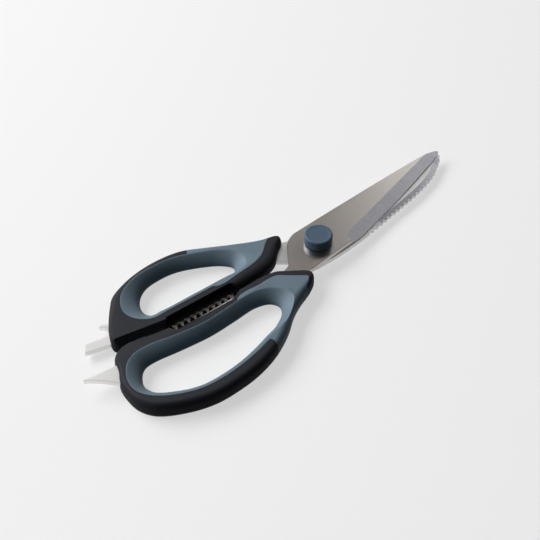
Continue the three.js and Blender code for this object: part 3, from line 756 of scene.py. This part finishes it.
lower_outline = np.array(drawn(blade_tip, [
    [(BLADE_REACH - 1.6, 0.8), lower_edge_end],
    [(BLADE_REACH / 2, BLADE_BACK - 5.4), lower_edge_start],
    [(2, BLADE_BACK - 1.6), (-5, BLADE_BACK - 1)],
    [in_handle(THUMB_TIP, THUMB_INNER + 4.4)],
    [in_handle(THUMB_TIP + 7, THUMB_INNER + 3), in_handle(THUMB_TIP + 14, lower_outer + 1.6)],
    [in_handle(THUMB_TIP + 19, lower_outer), in_handle(THUMB_FRONT - 2, lower_outer)],
    [in_handle(THUMB_BACK - 2, lower_outer)],
    [in_handle(THUMB_BACK + 5, lower_outer), in_handle(THUMB_BACK + 8, lower_outer + 5)],
    [in_handle(THUMB_END - 5, THUMB_FACE + 19.6)],
    [in_handle(THUMB_END - 2.3, THUMB_FACE + 20.6)],
    [in_handle(THUMB_END - 1.8, THUMB_FACE + 19.9)],
    [in_handle(THUMB_END - 6.4, THUMB_FACE + 17), prong(-1.8, PRONG_WIDTH)],
    [prong(PRONG_LENGTH - 3, PRONG_WIDTH - 0.6)],
    [prong(PRONG_LENGTH, 0)],
    [prong(-1, 0)],
    [in_handle(THUMB_BACK + 9, lower_face + 1), in_handle(THUMB_BACK, lower_face)],
    [in_handle(32, lower_face)],
    [in_handle(26, lower_face), (-21.2, 7.4)],
    [(-17.6, 3.4)],
    [(-13.6, -0.6), (-12.6, -7.4)],
    [(-12, -9), lower_back[0]],
]))
lower_outline = counter_clockwise(np.vstack([lower_outline, lower_back[1:-1]]))
print("blade outlines have", len(upper_outline), "and", len(lower_outline), "points")

# %% [markdown]
# ## Tang slots, nut cracker and lug
# The handles are moulded around the tangs, so each has a slot of the tang's own outline. A recess in
# both faces of the split leaves the nut cracker open, and a small lug on the thumb side stops the
# closing handles. Behind the recess the thumb's wall slopes back above the lug. A ledge of the
# recess covers the root of the teeth. The faint ring on the shoulder of the finger grip is where the
# plastic entered the mould.

# %% Hollows of the handles
SLOT_PLAY = 0.15
LUG_DIAMETER, LUG_HEIGHT, LEDGE = 6.0, 3.0, 0.7
SPLIT_DRAFT = 2.2
GATE_DIAMETER, GATE_CORE, GATE_DEPTH, GATE_STEPS = 2.0, 1.2, 0.1, 32
gate = in_handle(FINGER_TIP + 15.4, FINGER_INNER - 4)


def tang_slot(outline, low, high):
    return prism(grown(outline, SLOT_PLAY), low - SLOT_PLAY, high + SLOT_PLAY)


def cracker_recess(face, inward, wall, ramp, low, high=ABOVE):
    corners = [
        (CRACKER_START, -SPLIT_GAP),
        (CRACKER_START, 0),
        (CRACKER_START + ramp, wall),
        (CRACKER_END - CRACKER_RAMP, wall),
        (CRACKER_END, 0),
        (CRACKER_END, -SPLIT_GAP),
    ]
    return prism([in_handle(u, face + inward * d) for u, d in corners], low, high)


def split_draft():
    """A cut that slopes back from above the lug, along the split behind the nut cracker."""
    near, far, floor = CRACKER_END - CRACKER_RAMP, THUMB_END + 3, MIDDLE + LUG_HEIGHT / 2

    def level(height):
        inset = THUMB_FACE + SPLIT_DRAFT * (height - floor) / (HANDLE_THICKNESS - floor)
        open_side = THUMB_FACE - 2 * SPLIT_GAP
        corners = [(near, open_side), (near, inset), (far, inset + rise_at(far)), (far, open_side)]
        return counter_clockwise(np.array([in_handle(u, v) for u, v in corners])), height

    return loft([level(floor), level(ABOVE)])


lug_centre = in_handle(LUG_PLACE, FINGER_FACE + LUG_RISE + 0.3 + LUG_DIAMETER / 2)
lug = prism(circle(LUG_DIAMETER, lug_centre), MIDDLE - LUG_HEIGHT / 2, MIDDLE + LUG_HEIGHT / 2)
combine("UNION", thumb_core, lug)
tooth_floor, tooth_roof, ledge = LOWER_FLOOR - SLOT_PLAY, LOWER_TOP + SLOT_PLAY, LOWER_TOP + LEDGE
thumb_wall, tooth_root = TANG_INSET + CRACKER_RELIEF, CRACKER_TOOTH - CRACKER_REACH
thumb_recess = combine(
    "UNION",
    cracker_recess(THUMB_FACE, 1, thumb_wall, CRACKER_RAMP, ledge),
    cracker_recess(THUMB_FACE, 1, tooth_root, CRACKER_RAMP, tooth_floor, ledge + SLOT_PLAY),
    cracker_recess(THUMB_FACE, 1, thumb_wall, CRACKER_RAMP, tooth_floor, tooth_roof),
)
lower_slot = tang_slot(lower_outline, LOWER_FLOOR, LOWER_TOP)
cut(thumb_core, thumb_recess, split_draft(), copy(lower_slot))
cut(thumb_grip, lower_slot)
finger_wall = TANG_INSET + CRACKER_TOOTH + SEAT
finger_recess = cracker_recess(FINGER_FACE, -1, finger_wall, CRACKER_SWEEP, LOWER_TOP)
upper_slot = tang_slot(upper_outline, UPPER_FLOOR, UPPER_TOP)
cut(finger_core, finger_recess, copy(upper_slot))
cut(finger_grip, upper_slot)
gate_ring = cut(
    prism(circle(GATE_DIAMETER, gate, GATE_STEPS), HANDLE_THICKNESS - GATE_DEPTH, ABOVE),
    prism(circle(GATE_CORE, gate, GATE_STEPS), BELOW, ABOVE + 1),
)
cut(finger_grip, gate_ring)
for body in (thumb_core, finger_core):
    print("hollowed core has", len(body.data.polygons), "faces")

# %% [markdown]
# ## Steel
# The blades are stainless sheet. The upper flat is brushed along the blade, which draws soft streaks
# and a wide grey sheen, and the lower one is satin. The bevels are ground across, so their lines run
# to the edge and they look darker and cooler. The scaler's notches are left as the cutter leaves
# them, plain and bright. The nut cracker's stamped teeth are dull, and their dark brown tone is also
# painted shade of the deep recess they sit in. The ends of the tangs are tumbled, and the upper tang
# is painted dark inside its handle, as painted shade of the recess around its notches. The real brush
# lines are a few hundredths of a millimetre wide. They are drawn some five times coarser, so that
# they show at all.

# %% Steel
CLOUD_SIZE, LINE_DEPTH = 14 * MM, 0.02 * MM


def streaked_steel(name, light, dark, width, length, roughness, spread, turn=0.0):
    """Metal with fine lines, sized in mm. The lines run along X before they are turned about Z."""
    material, tree, shader, place = new_material(name)
    line_width, line_length = width * MM, length * MM
    turned = add(tree, "ShaderNodeMapping", {"Vector": place, "Rotation": (0, 0, turn)})
    stretched = add(
        tree, "ShaderNodeMapping",
        {"Vector": turned.outputs["Vector"], "Scale": (1 / line_length, 1 / line_width, 1 / line_width)},
    )
    lines = add(
        tree, "ShaderNodeTexNoise",
        {"Vector": stretched.outputs["Vector"], "Scale": 1.0, "Detail": 3.0, "Roughness": 0.6},
    )
    clouds = add(tree, "ShaderNodeTexNoise", {"Vector": place, "Scale": 1 / CLOUD_SIZE, "Detail": 2.0})
    tone = spread_noise(tree, lines.outputs["Fac"])
    relief = add(
        tree, "ShaderNodeBump",
        {"Height": lines.outputs["Fac"], "Strength": 0.12, "Distance": LINE_DEPTH},
    )
    feed(tree, shader, {
        "Base Color": mixed(tree, tone, linear(dark), linear(light)),
        "Roughness": spread_noise(tree, clouds.outputs["Fac"], roughness - spread, roughness + spread),
        "Normal": relief.outputs["Normal"],
        "Metallic": 1.0,
    })
    return material


edge_run = upper_bevel_end - upper_edge_start
edge_angle = math.atan2(edge_run[1], edge_run[0])
across = math.pi / 2 - edge_angle
BLADE_FINISHES = [streaked_steel("stainless_" + name, *look) for name, *look in (
    ("brushed_along", "#cbc5c0", "#bfb9b4", 0.2, 14, 0.25, 0.015),
    ("ground_across", "#aeadb2", "#8b8a90", 0.3, 6, 0.36, 0.03, across),
    ("ground_scaler", "#a3a2a8", "#8a898f", 0.3, 5, 0.36, 0.03, across),
    ("cut_teeth", "#d6d5d3", "#cac9c7", 0.2, 2, 0.3, 0.03),
    # stamped teeth: a dull stamped finish, plus a dark brown tone that is painted shade of their deep
    # recess
    ("stamped_teeth_and_painted_shade", "#8e8882", "#76716b", 0.3, 0.6, 0.42, 0.04),
    ("honed_edge", "#ececea", "#e0e0de", 0.2, 3, 0.55, 0.03),
    ("tumbled_tang_end", "#edecea", "#e3e2e0", 0.2, 2, 0.36, 0.03),
    # painted shade: a dark steel colour for the upper tang inside its handle, standing for the shade of
    # the recess
    ("painted_shade_tang", "#3f3c3a", "#343230", 0.3, 2, 0.5, 0.04),
)]
satin_steel = streaked_steel("stainless_satin_inner_face", "#dededd", "#d0d0cf", 0.2, 10, 0.46, 0.03)
FLAT, BEVEL, SCALER, TOOTH, CRACKER, HONED, TUMBLED, PAINTED_SHADE_TANG = range(8)

# %% [markdown]
# ## Blade plates and grinding
# A plate has its edges eased a little, as blanked and tumbled sheet has. The cutting bevel is one
# flat, ground down from a straight line on the face, and it starts in a steep round shoulder. The
# back of the lower blade is ground in a narrow band that follows its curve. A loft of one outline,
# moved out as it goes deeper, is a cutter with just that form.

# %% Plates and grinds
EDGE_EASE = 0.12
BEVEL_WIDTH, EDGE_LAND, EDGE_LEAD = 5.6, 0.4, 6.4
GRIND_ROUND = 6.0
SCALER_SLOPE = math.tan(math.radians(18))
SCALER_WIDTH, SCALER_LEAD = 2.6, 8.0
SCALER_PLACE = SCALER_START - lower_back[0][0]
CUT_OVER = 0.3


def finished_as(body, finish):
    """Gives a body the blades' finishes, all of its faces one of them."""
    body.data.materials.clear()
    for material in BLADE_FINISHES:
        body.data.materials.append(material)
    body.data.polygons.foreach_set("material_index", [finish] * len(body.data.polygons))
    return body


def plate(outline, low, high):
    inner = grown(outline, -EDGE_EASE)
    levels = [(inner, low), (outline, low + EDGE_EASE), (outline, high - EDGE_EASE), (inner, high)]
    return finished_as(loft(levels), FLAT)


def bevel(start, end, first, side, face, upward):
    """A cutter that falls away from a line beside the edge start-end, down from a face of the blade."""
    slope = (BLADE_THICKNESS - EDGE_LAND) / BEVEL_WIDTH
    far = 2 * BLADE_REACH
    along = (end - start) / np.linalg.norm(end - start)
    uphill = side * np.array([along[1], -along[0]])
    start = start + uphill * BEVEL_WIDTH
    around = np.linspace(math.pi / 2, math.pi, ARC_STEPS + 1)

    def level(depth):
        s, t = np.array([0, far, far, 0]) - start[0], np.array([-far, -far, -depth, -depth])
        return start + s[:, None] * along + t[:, None] * uphill, face - upward * slope * depth

    s = np.r_[0, far, far, GRIND_ROUND * (1 + np.cos(around))] + first - start[0]
    t = np.r_[-far, -far, CUT_OVER, GRIND_ROUND * (np.sin(around) - 1) + CUT_OVER]
    shoulder = prism(start + s[:, None] * along + t[:, None] * uphill, BELOW, ABOVE)
    wedge = loft([level(BLADE_THICKNESS / slope), level(-CUT_OVER)])
    return finished_as(combine("INTERSECT", wedge, shoulder), BEVEL)


def path_part(curve, first, last, spacing):
    """Points at even distances on a part of a curve, and the places they have along it."""
    travel = np.r_[0, np.cumsum(np.linalg.norm(np.diff(curve, axis=0), axis=1))]
    end = travel[-1] - last
    places = np.linspace(first, end, round((end - first) / spacing) + 1)
    return np.column_stack([np.interp(places, travel, column) for column in curve.T]), places - first


def scaler_band():
    """A cutter that follows the back of the lower blade and runs out at both of its ends."""
    points, places = path_part(lower_back, SCALER_PLACE, 0, 0.5)
    along = np.gradient(points, axis=0)
    along /= np.linalg.norm(along, axis=1)[:, None]
    outward = np.column_stack([along[:, 1], -along[:, 0]])
    ends = np.minimum(places, places[-1] - places) / SCALER_LEAD
    width = SCALER_WIDTH * np.minimum(1, ends)
    reach = BLADE_THICKNESS / SCALER_SLOPE

    def level(depth):
        inner = points + outward * (depth - width)[:, None]
        return np.vstack([inner, (points + outward * 2 * reach)[::-1]]), LOWER_TOP - SCALER_SLOPE * depth

    return finished_as(loft([level(reach), level(-CUT_OVER)]), SCALER)


# %% [markdown]
# ## Rows of teeth
# The scaler is a row of notches along the curved back of the lower blade. The nut cracker is a row of
# pointed teeth on the lower tang and a row of notches in the upper one. All three are one shape set
# along a path at an even pitch, which is what Geometry Nodes do well: points along a curve, a wedge
# on each point, turned to the curve. The tree's inputs are the sizes of the wedge.

# %% Tree for a row of wedges


def wedge_tree():
    tree = bpy.data.node_groups.new("row_of_wedges", "GeometryNodeTree")
    kinds = {"Path": "Geometry", "Finish": "Material"}
    sockets = {}
    for name in ("Path", "Pitch", "Mouth", "Height", "Lift", "Thickness", "Level", "Finish"):
        kind = "NodeSocket" + kinds.get(name, "Float")
        sockets[name] = tree.interface.new_socket(name, in_out="INPUT", socket_type=kind)
    tree.interface.new_socket("Wedges", in_out="OUTPUT", socket_type="NodeSocketGeometry")
    given = add(tree, "NodeGroupInput").outputs
    curve = add(tree, "GeometryNodeMeshToCurve", {"Mesh": given["Path"]})
    points = add(
        tree, "GeometryNodeCurveToPoints",
        {"Curve": curve.outputs["Curve"], "Length": given["Pitch"]}, mode="LENGTH",
    )
    turned = add(
        tree, "FunctionNodeAlignRotationToVector", {"Vector": points.outputs["Tangent"]},
        axis="Y", pivot_axis="Z",
    )
    blank = add(tree, "GeometryNodeMeshCylinder", {"Vertices": 3, "Radius": 1.0, "Depth": 1.0})
    base = add(
        tree, "GeometryNodeTransform", {"Geometry": blank.outputs["Mesh"], "Translation": (0.5, 0, 0)})
    tall = add(tree, "ShaderNodeMath", {0: given["Height"], 1: 1.5}, operation="DIVIDE")
    wide = add(tree, "ShaderNodeMath", {0: given["Mouth"], 1: math.sqrt(3)}, operation="DIVIDE")
    size = add(
        tree, "ShaderNodeCombineXYZ",
        {"X": tall.outputs[0], "Y": wide.outputs[0], "Z": given["Thickness"]},
    )
    move = add(tree, "ShaderNodeCombineXYZ", {"X": given["Lift"], "Z": given["Level"]})
    wedge = add(
        tree, "GeometryNodeTransform",
        {"Geometry": base.outputs["Geometry"], "Translation": move.outputs[0], "Scale": size.outputs[0]},
    )
    row = add(
        tree, "GeometryNodeInstanceOnPoints",
        {"Points": points.outputs["Points"], "Instance": wedge.outputs["Geometry"],
         "Rotation": turned.outputs["Rotation"]},
    )
    real = add(tree, "GeometryNodeRealizeInstances", {"Geometry": row.outputs["Instances"]})
    finished = add(
        tree, "GeometryNodeSetMaterial",
        {"Geometry": real.outputs["Geometry"], "Material": given["Finish"]},
    )
    add(tree, "NodeGroupOutput", {"Wedges": finished.outputs["Geometry"]})
    return tree, {name: socket.identifier for name, socket in sockets.items()}


row_of_wedges, wedge_inputs = wedge_tree()


def wedges(path, finish, **sizes):
    """A row of wedges on a path of (x, y) points, that point to the right of its direction."""
    mesh = bpy.data.meshes.new("wedge_path")
    mesh.from_pydata([(x, y, 0) for x, y in path], [(i, i + 1) for i in range(len(path) - 1)], [])
    row = new_object("wedge_row", mesh)
    modifier = row.modifiers.new("wedges", "NODES")
    modifier.node_group = row_of_wedges
    for name, value in {**sizes, "Finish": BLADE_FINISHES[finish]}.items():
        modifier[wedge_inputs[name]] = value
    row.data = evaluated(row)
    row.modifiers.clear()
    print("row of", len(row.data.vertices) // 6, "wedges")
    return finished_as(row, finish)


# %% Scaler notches and cracker teeth
SCALER_PITCH, SCALER_DEPTH, SCALER_MOUTH, NOTCH_STAND_OFF, TOOTH_ROOT = 3.15, 1.2, 2.9, 0.3, 0.25
CRACKER_PITCH, CRACKER_MARGIN, CRACKER_MOUTH = 3.4, 2.7, 3.2
TOOTH_WIDTH, TOOTH_PLAY = 0.98 * CRACKER_PITCH, 0.02
CRACKER_COUNT = int((CRACKER_LENGTH - 2 * CRACKER_MARGIN) / CRACKER_PITCH)
TEETH_START = CRACKER_START + CRACKER_MARGIN
TEETH_END = TEETH_START + CRACKER_COUNT * CRACKER_PITCH


def scaler_notches():
    path, _ = path_part(lower_back, SCALER_PLACE, SCALER_PITCH, SCALER_PITCH / 8)
    return wedges(
        path[::-1], TOOTH, Pitch=SCALER_PITCH, Mouth=SCALER_MOUTH, Height=SCALER_DEPTH + NOTCH_STAND_OFF,
        Lift=-NOTCH_STAND_OFF, Thickness=2 * BLADE_THICKNESS, Level=(LOWER_FLOOR + LOWER_TOP) / 2,
    )


def cracker_row(v, mouth, stand_off, thickness, level):
    """Wedges on the line v of a handle, one to each pitch, that point away from the thumb."""
    run = np.linspace(TEETH_END - CRACKER_PITCH / 2, TEETH_START + 0.4 * CRACKER_PITCH, 60)
    return wedges(
        [in_handle(u, v) for u in run], CRACKER, Pitch=CRACKER_PITCH, Mouth=mouth, Level=level,
        Height=CRACKER_TOOTH + stand_off, Lift=-stand_off, Thickness=thickness,
    )


def cracker_teeth():
    valley = THUMB_FACE - CRACKER_REACH + CRACKER_TOOTH
    root = THUMB_FACE + TANG_INSET + TANG_WIDTH / 2
    corners = [(TEETH_START, valley), (TEETH_END, valley), (TEETH_END, root), (TEETH_START, root)]
    web = finished_as(prism([in_handle(u, v) for u, v in corners], LOWER_FLOOR, LOWER_TOP), CRACKER)
    level = (LOWER_FLOOR + LOWER_TOP) / 2
    return web, cracker_row(valley, TOOTH_WIDTH, TOOTH_ROOT, BLADE_THICKNESS - TOOTH_PLAY, level)


def cracker_notches():
    face = FINGER_FACE - TANG_INSET
    return cracker_row(face, CRACKER_MOUTH, SEAT, 2 * BLADE_THICKNESS, (UPPER_FLOOR + UPPER_TOP) / 2)


# %% Blades
PIVOT_BORE = 6.4
EDGE_FACING = -0.8
TANG_FRONT, TANG_END = -42.0, -100.0


def pivot_bore():
    return finished_as(prism(circle(PIVOT_BORE), BELOW, ABOVE), FLAT)


def finish_behind(blade, place, finish):
    """Gives the part of a blade behind a cut across it, inside the handle, its own finish."""
    shape = bmesh.new()
    shape.from_mesh(blade.data)
    parts = shape.verts[:] + shape.edges[:] + shape.faces[:]
    bmesh.ops.bisect_plane(shape, geom=parts, plane_co=(place, 0, 0), plane_no=(1, 0, 0))
    for face in shape.faces:
        if face.calc_center_median().x < place:
            face.material_index = finish
    shape.to_mesh(blade.data)
    shape.free()


upper_blade = plate(upper_outline, UPPER_FLOOR, UPPER_TOP)
upper_bevel = bevel(upper_edge_start, upper_bevel_end, EDGE_START - EDGE_LEAD, -1, UPPER_TOP, 1)
cut(upper_blade, upper_bevel, pivot_bore(), cracker_notches())

lower_blade = plate(lower_outline, LOWER_FLOOR, LOWER_TOP)
combine("UNION", lower_blade, *cracker_teeth())
lower_bevel = bevel(lower_edge_start, lower_edge_end, EDGE_START - EDGE_LEAD, 1, LOWER_FLOOR, -1)
cut(lower_blade, lower_bevel, scaler_band(), pivot_bore(), scaler_notches())
lower_blade.data.materials[FLAT] = satin_steel
for face in upper_blade.data.polygons:
    if face.normal.y < EDGE_FACING and face.center.x > EDGE_START:
        face.material_index = HONED
# Painted shade: the upper tang inside its handle gets a dark steel colour that stands for the shade of
# the recess.
finish_behind(upper_blade, TANG_FRONT, PAINTED_SHADE_TANG)
finish_behind(upper_blade, TANG_END, TUMBLED)
finish_behind(lower_blade, TANG_END, TUMBLED)
print("blades have", len(upper_blade.data.polygons), "and", len(lower_blade.data.polygons), "faces")

# %% [markdown]
# ## Pivot
# A shouldered bolt holds the blades, a washer and a nut close it, and a moulded cap of the grip's
# colour, with a dished top, covers the nut. Bolt and cap are turned forms, so each is a loft of
# circles along a profile. The cap keeps the hexagon inside that grips the nut.

# %% Pivot pieces
CAP_DIAMETER, CAP_WALL, CAP_ROUND, CAP_BASE_GAP = 13.4, 1.2, 0.8, 0.12
CAP_RIM, CAP_DISH = 3.4, 0.14
NUT_FLATS = 8.0
NUT_FLOOR, NUT_TOP = (corner.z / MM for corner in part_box("pivot_nut"))
CAP_TOP = cad_high.z / MM
BOLT_HEAD, BOLT_CHAMFER, BOLT_SHOULDER, BOLT_THREAD = 12.0, 0.5, 6.0, 5.0
ROUND_STEPS = 10


def turned(profile):
    """A body of revolution from (diameter, height) pairs, lowest first."""
    return loft([(circle(diameter), height) for diameter, height in profile])


def moulded_cap():
    base = UPPER_TOP + CAP_BASE_GAP
    profile = [(CAP_DIAMETER - 0.3, base), (CAP_DIAMETER, base + 0.15)]
    for angle in np.linspace(0, math.pi / 2, ROUND_STEPS + 1):
        inset = CAP_ROUND * (1 - math.cos(angle))
        profile.append((CAP_DIAMETER - 2 * inset, CAP_TOP - CAP_ROUND * (1 - math.sin(angle))))
    for share in np.linspace(0.1, 1, ROUND_STEPS):
        dip = CAP_DISH * (1 - math.cos(math.pi * share)) / 2
        profile.append((CAP_DIAMETER - 2 * CAP_ROUND - CAP_RIM * share, CAP_TOP - dip))
    skirt = prism(circle(CAP_DIAMETER - 2 * CAP_WALL), BELOW, NUT_FLOOR)
    across = (NUT_FLATS + 0.4) * 2 / math.sqrt(3)
    socket = prism(circle(across, steps=6), BELOW, NUT_TOP + 0.2)
    return cut(turned(profile), skirt, socket)


def shouldered_bolt():
    head_top = LOWER_FLOOR - 0.15
    return turned([
        (BOLT_HEAD - 2 * BOLT_CHAMFER, 0),
        (BOLT_HEAD, BOLT_CHAMFER),
        (BOLT_HEAD, head_top),
        (BOLT_SHOULDER, head_top),
        (BOLT_SHOULDER, UPPER_TOP),
        (BOLT_THREAD, UPPER_TOP),
        (BOLT_THREAD, NUT_TOP),
    ])


pivot_cap = moulded_cap()
pivot_bolt = shouldered_bolt()
print("cap is", round(CAP_TOP - UPPER_TOP, 2), "mm high")

# %% [markdown]
# ## Plastics
# The core is a hard plastic moulded in a fine-sparked tool, matt and nearly black. The grip is a
# soft elastomer, blue-grey, with an even, slightly powdery look. The cap is a smooth satin plastic in
# the grip's colour. Their grain is a few hundredths of a millimetre, drawn coarser so that it shows.

# %% Plastics
BROAD_SIZE = 18 * MM


def moulded_plastic(name, light, dark, grain, roughness, spread, depth, specular):
    """Plastic with a fine grain, sized in mm, and a broad, faint change of colour."""
    material, tree, shader, place = new_material(name)
    fine = add(tree, "ShaderNodeTexNoise", {"Vector": place, "Scale": 1 / (grain * MM), "Detail": 2.0})
    broad = add(tree, "ShaderNodeTexNoise", {"Vector": place, "Scale": 1 / BROAD_SIZE, "Detail": 2.0})
    grain = fine.outputs["Fac"]
    relief = add(tree, "ShaderNodeBump", {"Height": grain, "Strength": 0.2, "Distance": depth * MM})
    feed(tree, shader, {
        "Base Color": mixed(tree, broad.outputs["Fac"], linear(dark), linear(light)),
        "Roughness": spread_noise(tree, grain, roughness - spread, roughness + spread),
        "Normal": relief.outputs["Normal"],
        "Specular IOR Level": specular,
    })
    return material


core_plastic = moulded_plastic(
    "black_moulded_plastic", "#28292e", "#24252a", 0.3, 0.6, 0.05, 0.03, specular=0.07)
grip_elastomer = moulded_plastic(
    "blue_grey_soft_elastomer", "#5e707c", "#5a6c78", 0.35, 0.6, 0.05, 0.03, specular=0.2)
cap_plastic = moulded_plastic(
    "blue_grey_satin_plastic", "#4d5f6f", "#495b6b", 0.4, 0.4, 0.03, 0.01, specular=0.1)
turned_steel = streaked_steel("zinc_plated_turned_steel", "#c4c4c1", "#b2b2b0", 0.2, 0.2, 0.32, 0.04)

# %% [markdown]
# ## Finished pieces
# Each body becomes metres, gets its shading and its finish, stands for the plain node it was made
# from and moves with the half of the shears that carries it.

# %% Finish and place the pieces


def finish_piece(body, name, node, half, material=None, crease=30):
    """Finishes a body. Edges that bend by more than the crease, in degrees, stay sharp."""
    mesh = body.data
    mesh.transform(Matrix.Scale(MM, 4))
    if material:
        mesh.materials.clear()
        mesh.materials.append(material)
        mesh.polygons.foreach_set("material_index", [0] * len(mesh.polygons))
    mesh.shade_smooth()
    mesh.set_sharp_from_angle(angle=math.radians(crease))
    body.name = mesh.name = name
    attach(body, half)
    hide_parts(node)
    print(name, "has", sum(len(p.vertices) - 2 for p in mesh.polygons), "triangles")


BLADE_CREASE = 10
for level, blade in (("lower", lower_blade), ("upper", upper_blade)):
    node, half = level + "_blade", level + "_half"
    finish_piece(blade, node + "_ground", node, half, crease=BLADE_CREASE)
for finger, half, core, grip in (("thumb", "lower_half", thumb_core, thumb_grip),
                                 ("finger", "upper_half", finger_core, finger_grip)):
    node = finger + "_handle_"
    finish_piece(core, finger + "_core_moulding", node + "core", half, core_plastic)
    finish_piece(grip, finger + "_grip_moulding", node + "grip", half, grip_elastomer)
finish_piece(pivot_cap, "pivot_cap_moulding", "pivot_cap", "lower_half", cap_plastic)
finish_piece(pivot_bolt, "pivot_bolt_turned", "pivot_bolt", "lower_half", turned_steel)

# %% Hidden hardware keeps its shape
for node_name in ("pivot_washer", "pivot_nut"):
    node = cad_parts[node_name]
    node.data.materials.clear()
    node.data.materials.append(turned_steel)

# %% Flags
for panel in (key, handle_card):
    keep_off(panel, [upper_blade, lower_blade, pivot_bolt])
keep_off(fill_card, [thumb_core, thumb_grip, finger_core, finger_grip, pivot_cap])
